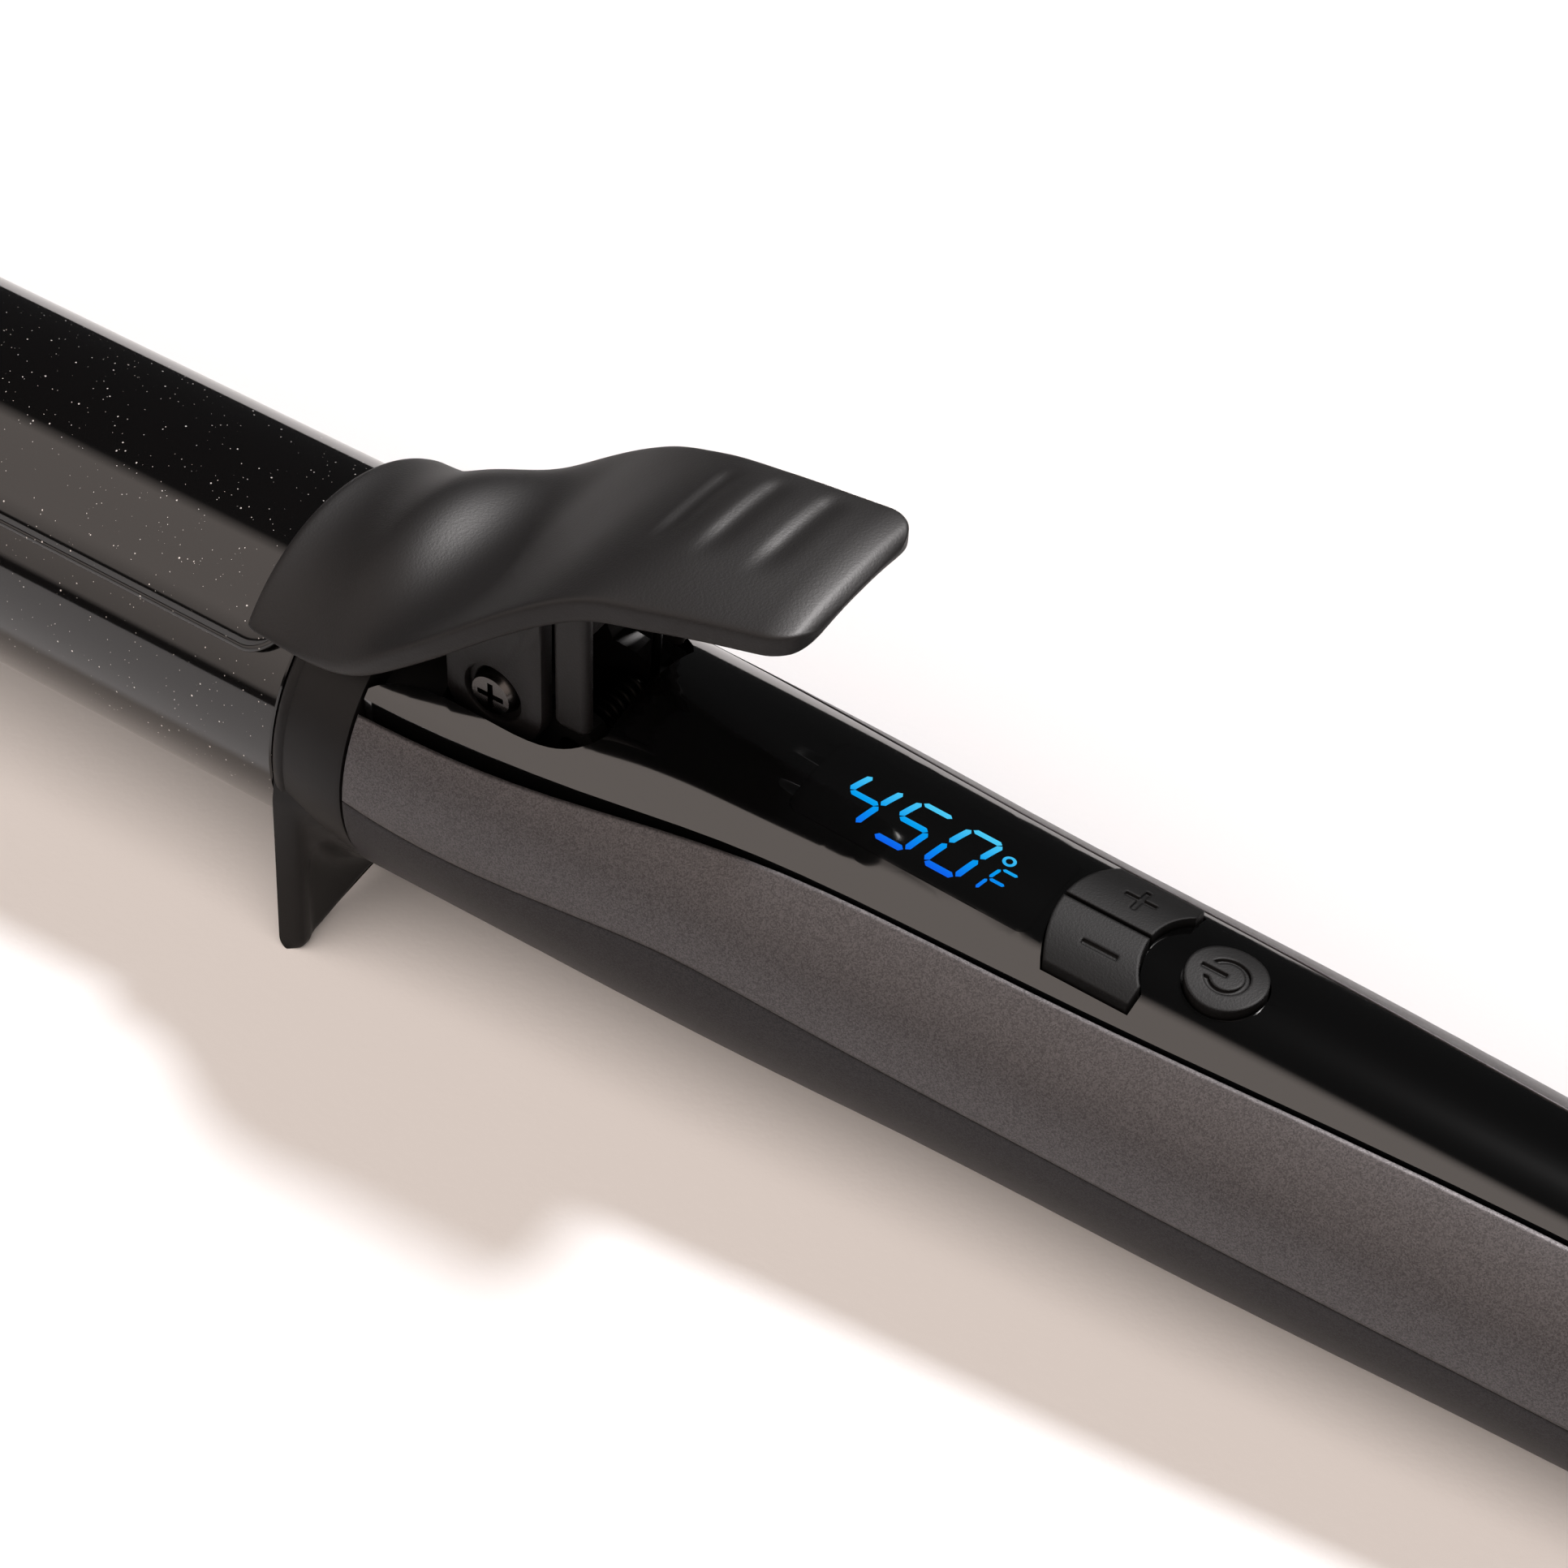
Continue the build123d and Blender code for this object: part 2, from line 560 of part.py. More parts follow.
with BuildPart() as pivot_screws:
    for side in (-1, 1):
        # Shoulder, then the thread in the bracket, then the domed head with its cross
        with Locations(Location((PIVOT_X, side * CHEEK_INNER, PIVOT_Z), (side * -90, 0, 0))):
            Cylinder(SCREW_R, CHEEK_OUTER - CHEEK_INNER, align=(Align.CENTER, Align.CENTER, Align.MIN))
        with Locations(Location((PIVOT_X, side * (CHEEK_OUTER + 0.02), PIVOT_Z), (side * -90, 0, 0))):
            Cylinder(PIVOT_R, 7.45 - CHEEK_OUTER, align=(Align.CENTER, Align.CENTER, Align.MIN))
        with Locations(Location((PIVOT_X, side * 7.45, PIVOT_Z), (side * -90, 0, 0))):
            Cone(2.5, 2.0, 1.1, align=(Align.CENTER, Align.CENTER, Align.MIN))
        with Locations((PIVOT_X, side * 8.25, PIVOT_Z)):
            Box(2.8, 1.0, 0.6, mode=Mode.SUBTRACT)
            Box(0.6, 1.0, 2.8, mode=Mode.SUBTRACT)

# ---------------------------------------------------------------- pivot bracket and spring

with BuildPart() as pivot_bracket:
    with BuildSketch(Plane.XY.offset(3)):
        with Locations((22.5, 0)):
            RectangleRounded(16, 18, 2)
    extrude(amount=3)
    with BuildSketch(Plane.XY.offset(BRACKET_LEG_END)):
        with Locations((17.5, 7.3), (17.5, -7.3), (27.5, 7.3), (27.5, -7.3)):
            Rectangle(4, 3.0)
    extrude(amount=3.2 - BRACKET_LEG_END)
    for side in (-1, 1):
        with BuildSketch(Plane.XZ.offset(-side * (CHEEK_INNER + CHEEK_OUTER) / 2)):
            Polygon(
                (15.6, 5.8), (15.6, 14.4), (16.6, 17.0), (19.5, 18.2), (22.4, 17.0), (23.6, 14.0),
                (26.2, 13.7), (28.4, 12.9), (29.3, 11.4), (29.3, 5.8), align=None,
            )
            with Locations((PIVOT_X, PIVOT_Z)):
                Circle(SCREW_R, mode=Mode.SUBTRACT)
            with Locations((COIL_X, COIL_Z)):
                Circle(SPRING_PIN_R, mode=Mode.SUBTRACT)
        extrude(amount=(CHEEK_OUTER - CHEEK_INNER) / 2, both=True)

with BuildPart() as spring_pin:
    with Locations(Location((COIL_X, 0, COIL_Z), (90, 0, 0))):
        Cylinder(SPRING_PIN_R, 2 * CHEEK_OUTER)

COIL_LENGTH = COIL_TURNS * COIL_PITCH
with BuildPart() as torsion_spring:
    with BuildLine() as coil:
        Helix(
            pitch=COIL_PITCH, height=COIL_LENGTH, radius=COIL_R,
            center=(COIL_X, -COIL_LENGTH / 2, COIL_Z), direction=(0, 1, 0), lefthand=True,
        )
    with BuildSketch(Plane(origin=coil.line @ 0, z_dir=coil.line % 0)):
        Circle(WIRE_R)
    sweep(path=coil.line)
    # The fixed leg bears under the shell behind; the other stands behind the lever's cross wall
    with BuildSketch(Plane(origin=coil.line @ 0, z_dir=-(coil.line % 0))):
        Circle(WIRE_R)
    extrude(amount=FIXED_LEG)
    with BuildSketch(Plane(origin=coil.line @ 1, z_dir=coil.line % 1)):
        Circle(WIRE_R)
    extrude(amount=LEVER_LEG)

# ---------------------------------------------------------------- display, board and keys

with BuildPart() as main_board:
    with BuildSketch(Plane.XY.offset(BOARD_TOP - BOARD_THICKNESS)):
        with Locations(((BOARD_FRONT + BOARD_REAR) / 2, 0)):
            RectangleRounded(BOARD_REAR - BOARD_FRONT, 2 * BOARD_HALF_WIDTH, 1.5)
    extrude(amount=BOARD_THICKNESS)

with BuildPart() as display_module:
    with BuildSketch(Plane.XY.offset(BOARD_TOP)):
        with Locations((WINDOW_X, 0)):
            Rectangle(WINDOW_LENGTH - 1, WINDOW_WIDTH - 0.6)
    extrude(amount=7.2)
    chamfer(display_module.faces().sort_by(Axis.Z)[-1].edges(), 0.4)

DIGITS = [("fgbc", 50.9, 1.0), ("afgcd", 55.9, 1.0), ("abcdef", 60.9, 1.0), ("afge", 66.0, 0.55)]
DIGITS_Y = -3.2
with BuildSketch() as lit_plan:
    for lit, x, scale in DIGITS:
        add(digit_plan(lit, x, DIGITS_Y, scale))
    with Locations((66.9, 0.9)):
        Circle(0.62)
        Circle(0.32, mode=Mode.SUBTRACT)
LIT = plan_prism(lit_plan.sketch, 5)

with BuildPart() as display_digits:
    add(handle_core(0.02))
    add(handle_core(0.3), mode=Mode.SUBTRACT)
    add(LIT, mode=Mode.INTERSECT)

with BuildPart() as display_lens:
    add(plan_prism(window_plan(0.03), 5))
    add(OUTER, mode=Mode.INTERSECT)
    add(COVER_UNDERSIDE, mode=Mode.SUBTRACT)
    add(LIT - handle_core(0.3), mode=Mode.SUBTRACT)

SWITCHES = [(STEP_KEY_X, STEP_KEY_Y), (STEP_KEY_X, -STEP_KEY_Y), (POWER_X, 0)]
with BuildPart() as tact_switches:
    with Locations(*[(x, y, BOARD_TOP) for x, y in SWITCHES]):
        Box(SWITCH_SIDE, SWITCH_SIDE, SWITCH_HEIGHT, align=(Align.CENTER, Align.CENTER, Align.MIN))
        Cylinder(1.75, SWITCH_HEIGHT + PLUNGER_HEIGHT, align=(Align.CENTER, Align.CENTER, Align.MIN))

with BuildPart() as power_components:
    # A film capacitor, a relay and a choke beside each other behind the keys
    with Locations((101, 0, BOARD_TOP)):
        Box(10, 9, 3.0, align=(Align.CENTER, Align.CENTER, Align.MIN))
    with Locations((110, 0, BOARD_TOP - BOARD_THICKNESS)):
        Box(22, 11, 9.0, align=(Align.CENTER, Align.CENTER, Align.MAX))
    with Locations(Location((114, 0, BOARD_TOP + 1.6), (0, 90, 0))):
        Cylinder(1.6, 10)



def key(plan, flange_plan, x, y):
    """A key: its cap up to the crown, the flange that keeps it under the cover, and its stem."""
    with BuildPart() as cap:
        add(plan_prism(plan, 5))
        add(KEY_CROWN, mode=Mode.INTERSECT)
        add(FLANGE_UNDERSIDE, mode=Mode.SUBTRACT)
        add((plan_prism(flange_plan, 5) & FLANGE_TOP) - FLANGE_UNDERSIDE)
        with Locations((x, y, STEM_END)):
            Cylinder(STEM_R, 3.4, align=(Align.CENTER, Align.CENTER, Align.MIN))
    return cap


def bars_plan(x, y, bars):
    """Plan of a key's engraved bars, each a width along X and along Y."""
    with BuildSketch() as plan:
        with Locations((x, y)):
            for along_x, along_y in bars:
                Rectangle(along_x, along_y)
    return plan.sketch


def power_symbol_plan():
    """Plan of the open ring and bar that mean power, open towards the display."""
    with BuildSketch() as plan:
        with Locations((POWER_X, 0)):
            Circle(1.95)
            Circle(1.5, mode=Mode.SUBTRACT)
        with Locations((POWER_X - 1.7, 0)):
            Rectangle(1.6, 1.7, mode=Mode.SUBTRACT)
        with Locations((POWER_X - 1.2, 0)):
            Rectangle(2.4, 0.45)
    return plan.sketch


def step_key(side):
    """One of the two temperature keys, its flange kept clear of the other's."""
    flange_plan = step_key_plan(side, KEY_FLANGE) & half_plan(side, 0.2)
    return key(step_key_plan(side, -KEY_GAP), flange_plan, STEP_KEY_X, side * STEP_KEY_Y)


plus_key = step_key(1)
minus_key = step_key(-1)
power_cap, power_flange = (circle_plan(POWER_X, 0, POWER_HOLE_R + by) for by in (-KEY_GAP, KEY_FLANGE))
power_key = key(power_cap, power_flange, POWER_X, 0)
SYMBOLS = [
    (plus_key, bars_plan(STEP_KEY_X, STEP_KEY_Y, [(3.0, 0.5), (0.5, 3.0)])),
    (minus_key, bars_plan(STEP_KEY_X, -STEP_KEY_Y, [(3.4, 0.5)])),
    (power_key, power_symbol_plan()),
]
for cap, symbol in SYMBOLS:
    with cap:
        add(plan_prism(symbol, 5) - ENGRAVING_FLOOR, mode=Mode.SUBTRACT)

# ---------------------------------------------------------------- turning cord outlet

def turned(profile):
    """A piece turned about the handle's axis from a profile of (distance along it, radius)."""
    with BuildPart() as piece:
        with BuildSketch(HANDLE_PLANE):
            Polygon(*profile, align=None)
        revolve(axis=HANDLE_AXIS)
    return piece


def across_handle(distance):
    """Plane across the handle's axis: its X is the object's +Y and its Y is up."""
    return Plane(
        origin=HANDLE_PLANE.from_local_coords((distance, 0, 0)), x_dir=(0, 1, 0), z_dir=HANDLE_PLANE.x_dir
    )


CAP_BORE_R = GLAND_NECK_R + GLAND_CLEARANCE
end_cap = turned([
    (HANDLE_REAR - 2.8, 8.6), (HANDLE_REAR - 2.8, 10.0), (HANDLE_REAR + 0.15, 10.0),
    (HANDLE_REAR + 0.15, HANDLE_REAR_R - 0.1), (HANDLE_REAR + 1.5, HANDLE_REAR_R - 0.5),
    (HANDLE_REAR + 3.6, 11.6), (HANDLE_REAR + 5.2, 9.8), (HANDLE_REAR + 6.0, 8.4),
    (HANDLE_REAR + 6.0, CAP_BORE_R), (HANDLE_REAR + 1.6, CAP_BORE_R), (HANDLE_REAR + 1.6, 8.6),
])
swivel_retainer = turned([(164.4, CAP_BORE_R), (164.4, 9.9), (167.0, 9.9), (167.0, CAP_BORE_R)])
swivel_gland = turned([
    (GLAND_FRONT, GLAND_BORE_R), (GLAND_FRONT, 8.4), (164.1, 8.4), (164.1, GLAND_NECK_R),
    (176.4, GLAND_NECK_R), (176.4, 6.9), (177.4, 7.5), (179.2, 7.7), (181.2, 7.4), (183.0, 6.6),
    (GLAND_REAR, 5.4), (GLAND_REAR, GLAND_BORE_R),
])
slip_ring_disc = turned([
    (DISC_REAR - 1.2, 3.9), (DISC_REAR - 1.2, 9.6), (DISC_REAR, 9.6), (DISC_REAR, 3.9),
])

with BuildPart() as contact_rings:
    with BuildSketch(across_handle(RINGS_FRONT)):
        Circle(7.8)
        Circle(6.8, mode=Mode.SUBTRACT)
        Circle(5.4)
        Circle(4.4, mode=Mode.SUBTRACT)
    extrude(amount=GLAND_FRONT - RINGS_FRONT)

with BuildPart() as contact_brushes:
    with BuildSketch(across_handle(DISC_REAR)):
        with Locations((0, 4.9), (0, -4.9), (7.3, 0), (-7.3, 0)):
            Circle(0.45)
    extrude(amount=RINGS_FRONT - DISC_REAR - 0.1)

# ---------------------------------------------------------------- laying down and writing

PIECES = {
    "barrel_tube": barrel_tube,
    "cool_tip": cool_tip,
    "tip_bridge": tip_bridge,
    "tip_screw": tip_screw,
    "heat_spreader_upper": heat_spreader_upper,
    "heat_spreader_lower": heat_spreader_lower,
    "heater_plate": heater_plate,
    "spreader_spring": spreader_spring,
    "thermistor": thermistor,
    "heater_leads": heater_leads,
    "barrel_seat": barrel_seat,
    "collar_stand": collar_stand,
    "lower_shell": lower_shell,
    "upper_shell": upper_shell,
    "top_cover": top_cover,
    "shell_screws": shell_screws,
    "clip_plate": clip_plate,
    "clip_rivets": clip_rivets,
    "clip_lever": clip_lever,
    "pivot_screws": pivot_screws,
    "pivot_bracket": pivot_bracket,
    "spring_pin": spring_pin,
    "torsion_spring": torsion_spring,
    "main_board": main_board,
    "display_module": display_module,
    "display_lens": display_lens,
    "display_digits": display_digits,
    "tact_switches": tact_switches,
    "power_components": power_components,
    "plus_key": plus_key,
    "minus_key": minus_key,
    "power_key": power_key,
    "end_cap": end_cap,
    "swivel_retainer": swivel_retainer,
    "swivel_gland": swivel_gland,
    "slip_ring_disc": slip_ring_disc,
    "contact_rings": contact_rings,
    "contact_brushes": contact_brushes,
}

# The rear is the tilt's low end: the barrel's axis falls from the collar to the cord
LAY_DOWN = Rot(0, degrees(REST_TILT), 0) * Pos(-FOOT_TIP[0], 0, -FOOT_TIP[1])
LENGTHWISE = Compound([LAY_DOWN * piece.part for piece in PIECES.values()]).bounding_box()
REST = Pos(-(LENGTHWISE.min.X + LENGTHWISE.max.X) / 2, 0, -LENGTHWISE.min.Z) * LAY_DOWN

os.makedirs("parts", exist_ok=True)
for name, piece in PIECES.items():
    piece.part = REST * piece.part
    piece.part.label = name
    export_step(piece.part, f"parts/{name}.step")


def show(label, x, y, z):
    """Print where a point of the barrel's frame lies once the iron is laid down, in millimetres."""
    point = (REST * Pos(x, y, z)).position
    print(label, [round(v, 4) for v in (point.X, point.Y, point.Z)])


show("origin", 0, 0, 0)
show("pivot", PIVOT_X, 0, PIVOT_Z)
show("gland middle", *HANDLE_PLANE.from_local_coords(((GLAND_FRONT + GLAND_REAR) / 2, 0, 0)))
show("foot tip", FOOT_THICKNESS / 2, 16.0, FOOT_TIP[1])
print("tilt", round(degrees(REST_TILT), 5), "barrel", round(cos(REST_TILT), 6), round(-sin(REST_TILT), 6))
print("handle axis", round(cos(REST_TILT + DROOP), 6), round(-sin(REST_TILT + DROOP), 6))
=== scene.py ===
"""A curling iron lying on its stand foot: lit display, thumb lever and flecked barrel."""

import math

import bpy
import numpy as np
from mathutils import Matrix, Vector


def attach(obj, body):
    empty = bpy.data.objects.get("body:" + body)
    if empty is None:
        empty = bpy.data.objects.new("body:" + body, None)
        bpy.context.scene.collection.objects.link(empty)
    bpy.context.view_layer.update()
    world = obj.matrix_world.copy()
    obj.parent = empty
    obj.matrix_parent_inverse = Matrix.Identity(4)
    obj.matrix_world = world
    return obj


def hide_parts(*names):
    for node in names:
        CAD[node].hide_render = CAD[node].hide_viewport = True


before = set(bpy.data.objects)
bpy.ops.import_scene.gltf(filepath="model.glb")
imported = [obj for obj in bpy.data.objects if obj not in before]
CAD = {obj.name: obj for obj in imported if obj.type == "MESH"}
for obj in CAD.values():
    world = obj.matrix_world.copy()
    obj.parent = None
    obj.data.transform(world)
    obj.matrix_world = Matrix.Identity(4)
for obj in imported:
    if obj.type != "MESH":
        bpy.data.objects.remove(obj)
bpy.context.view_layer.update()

# ------------------------------------------------------------------ the iron's own frame
# Shapes are worked out in millimetres along the barrel's axis: x = 0 at the collar's front face,
# +x towards the cord, +z on the clip's side. Lying down tips that frame about Y and lifts it.
TILT = math.radians(2.62964)
COLLAR_AT = np.array([-17.9027, 0.0, 22.4338])
PER_MM = 1000.0  # Blender's metres


def lay_down(points):
    """Barrel-frame points, turned by the resting tilt and moved to the collar's place, in metres."""
    x, y, z = np.moveaxis(np.asarray(points, float), -1, 0)
    c, s = math.cos(TILT), math.sin(TILT)
    return (np.stack([x * c + z * s, y, z * c - x * s], -1) + COLLAR_AT) / PER_MM


def curve_through(knots):
    """Natural cubic spline through (x, value) knots: returns a function of an array of x."""
    t, v = np.array(knots, float).T
    h = np.diff(t)
    system = np.eye(len(t))
    right = np.zeros(len(t))
    for i in range(1, len(t) - 1):
        system[i, i - 1:i + 2] = h[i - 1], 2 * (h[i - 1] + h[i]), h[i]
        right[i] = 6 * ((v[i + 1] - v[i]) / h[i] - (v[i] - v[i - 1]) / h[i - 1])
    bend = np.linalg.solve(system, right)

    def at(x):
        x = np.clip(np.asarray(x, float), t[0], t[-1])
        k = np.clip(np.searchsorted(t, x) - 1, 0, len(h) - 1)
        a, b = (t[k + 1] - x) / h[k], (x - t[k]) / h[k]
        bent = ((a**3 - a) * bend[k] + (b**3 - b) * bend[k + 1]) * h[k] ** 2 / 6
        return a * v[k] + b * v[k + 1] + bent

    return at


def ease(x, start, end):
    """Smooth step from 0 before start to 1 after end."""
    u = np.clip((np.asarray(x, float) - start) / (end - start), 0, 1)
    return u * u * (3 - 2 * u)


# ------------------------------------------------------------------ meshes
def skin(name, grid, material, body, stands_for=(), ends="open", crease=50):
    """Mesh of a grid of points (rows, columns, 3) in the barrel's frame, its columns joined in a ring.

    ends "fans" closes the first and last ring on their middle points. Edges over crease degrees
    are sharp."""
    rows, columns = grid.shape[:2]
    points = lay_down(grid).reshape(-1, 3)
    here = np.arange(rows * columns).reshape(rows, columns)
    across = np.roll(here, -1, 1)
    faces = np.stack([here[:-1], across[:-1], across[1:], here[1:]], -1).reshape(-1, 4).tolist()
    if ends == "fans":
        for ring, turned in ((0, 1), (rows - 1, -1)):
            middle = lay_down(grid[ring].mean(0))
            points = np.vstack([points, middle])
            hub = np.full(columns, len(points) - 1)
            faces += np.stack([hub, across[ring], here[ring]], -1)[:, ::turned].tolist()
    mesh = bpy.data.meshes.new(name)
    mesh.from_pydata(points.tolist(), [], faces)
    mesh.shade_smooth()
    mesh.set_sharp_from_angle(angle=math.radians(crease))
    mesh.materials.append(material)
    piece = bpy.data.objects.new(name, mesh)
    bpy.context.scene.collection.objects.link(piece)
    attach(piece, body)
    if stands_for:
        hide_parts(*stands_for)


# ------------------------------------------------------------------ node helpers
def linear(hex_colour):
    """sRGB hex to the linear colour with alpha that sockets take."""
    parts = [int(hex_colour[i:i + 2], 16) / 255 for i in (1, 3, 5)]
    return tuple(p / 12.92 if p <= 0.04045 else ((p + 0.055) / 1.055) ** 2.4 for p in parts) + (1.0,)


def add(tree, kind, inputs=None, **settings):
    """Add one node: its settings, then its inputs, each a value or another node's output to link."""
    node = tree.nodes.new(kind)
    for key, value in settings.items():
        setattr(node, key, value)
    for key, value in (inputs or {}).items():
        if isinstance(value, bpy.types.NodeSocket):
            tree.links.new(value, node.inputs[key])
        else:
            node.inputs[key].default_value = value
    return node


def mix(tree, share, first, second, **settings):
    """Colour that runs from first to second as share goes from 0 to 1."""
    node = add(tree, "ShaderNodeMix", {0: share, 6: first, 7: second}, data_type="RGBA", **settings)
    return node.outputs[2]


def finish_of(name, colour, roughness, metallic=0.0, **sockets):
    """A Principled material with its plain values, and its tree and shader for what is added to it."""
    material = bpy.data.materials.new(name)
    material.use_nodes = True
    tree = material.node_tree
    shader = tree.nodes["Principled BSDF"]
    shader.inputs["Base Color"].default_value = linear(colour)
    shader.inputs["Roughness"].default_value = roughness
    shader.inputs["Metallic"].default_value = metallic
    for key, value in sockets.items():
        shader.inputs[key.replace("_", " ")].default_value = value
    return material, tree, shader


def object_place(tree):
    """Object coordinates, in metres."""
    return add(tree, "ShaderNodeTexCoord").outputs["Object"]


def eased_edges(tree, edge_mm):
    """Normal blended over sharp edges within a radius, for moulded radii the mesh leaves out."""
    return add(tree, "ShaderNodeBevel", {"Radius": edge_mm / PER_MM}, samples=6).outputs["Normal"]


def grained(name, colour, darker, roughness, grain_mm, depth_mm, edge_mm=0.0, **sockets):
    """Moulded plastic with a spark-eroded grain: noise of the grain's size in colour and bump."""
    material, tree, shader = finish_of(name, colour, roughness, **sockets)
    grain = add(tree, "ShaderNodeTexNoise", {"Vector": object_place(tree), "Scale": PER_MM / grain_mm,
                                             "Detail": 2.0, "Roughness": 0.6}).outputs["Fac"]
    tree.links.new(mix(tree, grain, linear(darker), linear(colour)), shader.inputs["Base Color"])
    bump = add(tree, "ShaderNodeBump", {"Height": grain, "Strength": 1.0, "Distance": depth_mm / PER_MM})
    if edge_mm:
        tree.links.new(eased_edges(tree, edge_mm), bump.inputs["Normal"])
    tree.links.new(bump.outputs["Normal"], shader.inputs["Normal"])
    return material


def flecked_ceramic(name, ground, fleck):
    """Ceramic sol-gel coating fired on aluminium: deep gloss black with fine silver flecks in it."""
    material, tree, shader = finish_of(name, ground, 0.06, IOR=1.57)
    place = object_place(tree)
    masks = []
    # Two sizes of fleck: cells of 0.85 mm and 0.45 mm, most of which hold a fleck up to 0.2 mm wide.
    # The cell's random red sets its fleck's radius, from none at the empty share to the widest at 1.
    for cell_mm, widest, empty_share in ((0.85, 0.11, 0.28), (0.45, 0.12, 0.4)):
        cells = add(tree, "ShaderNodeTexVoronoi", {"Vector": place, "Scale": PER_MM / cell_mm},
                    feature="F1")
        chosen = add(tree, "ShaderNodeSeparateColor", {"Color": cells.outputs["Color"]})
        radius = add(tree, "ShaderNodeMapRange", {
            "Value": chosen.outputs["Red"], "From Min": empty_share, "From Max": 1.0,
            "To Min": 0.0, "To Max": widest})
        masks.append(add(tree, "ShaderNodeMath", {
            0: cells.outputs["Distance"], 1: radius.outputs["Result"]}, operation="LESS_THAN"))
    flecks = add(tree, "ShaderNodeMath", {i: mask.outputs["Value"] for i, mask in enumerate(masks)},
                 operation="MAXIMUM")
    tree.links.new(mix(tree, flecks.outputs["Value"], linear(ground), linear(fleck)),
                   shader.inputs["Base Color"])
    return material


def metallic_paint(name, colour, light, dark, roughness, metallic, coat, specular):
    """Metallic lacquer on plastic: aluminium flakes 0.1 mm wide, each lighter or darker and tilted its
    own way, under a satin clear coat."""
    material, tree, shader = finish_of(
        name, colour, roughness, metallic=metallic, Specular_IOR_Level=specular,
        Coat_Weight=coat, Coat_Roughness=0.3)
    flakes = add(tree, "ShaderNodeTexVoronoi", {"Vector": object_place(tree), "Scale": PER_MM / 0.11},
                 feature="F1")
    split = add(tree, "ShaderNodeSeparateColor", {"Color": flakes.outputs["Color"]})
    tree.links.new(mix(tree, split.outputs["Red"], linear(dark), linear(light)),
                   shader.inputs["Base Color"])
    bump = add(tree, "ShaderNodeBump", {
        "Height": split.outputs["Green"], "Strength": 0.25, "Distance": 0.01 / PER_MM,
        "Normal": eased_edges(tree, 0.5)})
    tree.links.new(bump.outputs["Normal"], shader.inputs["Normal"])
    return material


def lit_segments(name, foot, middle, top):
    """Backlit display segments: deep blue at their feet running to pale cyan at their tops."""
    material, tree, shader = finish_of(name, "#000000", 0.6, Emission_Strength=1.0,
                                       Specular_IOR_Level=0.0)
    split = add(tree, "ShaderNodeSeparateXYZ", {"Vector": object_place(tree)})
    # The figures stand across the iron, from y = -3.4 mm to y = 2.4 mm
    height = add(tree, "ShaderNodeMapRange", {"Value": split.outputs["Y"],
                                              "From Min": -3.4 / PER_MM, "From Max": 2.4 / PER_MM})
    ramp = add(tree, "ShaderNodeValToRGB", {"Fac": height.outputs["Result"]})
    ramp.color_ramp.elements[0].color = linear(foot)
    ramp.color_ramp.elements[1].color = linear(top)
    ramp.color_ramp.elements.new(0.5).color = linear(middle)
    tree.links.new(ramp.outputs["Color"], shader.inputs["Emission Color"])
    return material


# ------------------------------------------------------------------ finishes
# Glass-filled nylon and ABS, moulded in spark-eroded tools
lever_abs = grained("lever_glass_filled_nylon", "#0d0a0a", "#070505", 0.53, 0.25, 0.02,
                    Specular_IOR_Level=0.26)
collar_nylon = grained("collar_glass_filled_nylon", "#0c0a0a", "#070606", 0.42, 0.3, 0.006,
                       Specular_IOR_Level=0.19)
key_plastic = grained("key_moulded_abs", "#0d0c0c", "#060606", 0.5, 0.2, 0.014, edge_mm=0.35,
                      Specular_IOR_Level=0.09)
bracket_resin = grained("bracket_filled_resin", "#0f0e0e", "#0a0909", 0.45, 0.3, 0.006,
                        Specular_IOR_Level=0.25)
moulded_white = grained("display_case_white_abs", "#dcdcd6", "#d2d2cc", 0.5, 0.5, 0.003)
# Sprayed, lacquered and polished surfaces
ceramic = flecked_ceramic("barrel_ceramic_coating", "#0a0909", "#ccc7c3")
upper_paint = metallic_paint("upper_shell_metallic_lacquer", "#42403f", "#504d4e", "#353334", 0.42,
                             metallic=0.6, coat=0.1, specular=0.35)
# The lower shell: its colour, darker than the upper shell's lacquer, is painted shade for its half that
# faces down to the floor
lower_paint_painted_shade = metallic_paint("lower_shell_lacquer_painted_shade", "#242325", "#2d2c2e", "#1c1b1d", 0.5,
                             metallic=0.1, coat=0.0, specular=0.14)
piano = finish_of("cover_piano_black_abs", "#050505", 0.07, IOR=1.72)[0]
window = finish_of("display_smoked_acrylic", "#050505", 0.07, IOR=1.72)[0]
segments = lit_segments("display_lit_segments", "#0f62ee", "#06a0f0", "#4fccf6")
# Metals
screw_steel = finish_of("screw_black_nickel", "#4a4745", 0.22, metallic=1.0)[0]
spring_steel = finish_of("spring_bright_steel", "#b5afa6", 0.22, metallic=1.0)[0]
# The torsion spring and its pin: their near-black colour is painted shade for the dark space under the
# lever
spring_steel_painted_shade = finish_of("spring_steel_blackened_painted_shade", "#121110", 0.35, metallic=1.0)[0]
bare_aluminium = finish_of("spreader_extruded_aluminium", "#b9b9b6", 0.35, metallic=1.0)[0]
brass = finish_of("contact_brass", "#c79a4b", 0.25, metallic=1.0)[0]
# Board, ceramic and woven sleeve inside
board_laminate = grained("board_solder_mask", "#1d4a2c", "#173d24", 0.35, 1.2, 0.0)
alumina = grained("heater_fired_alumina", "#e8e4da", "#dcd7cb", 0.6, 0.4, 0.003)
glass_sleeve = grained("lead_woven_glass_sleeve", "#d5d0c0", "#b9b3a1", 0.8, 0.5, 0.02)

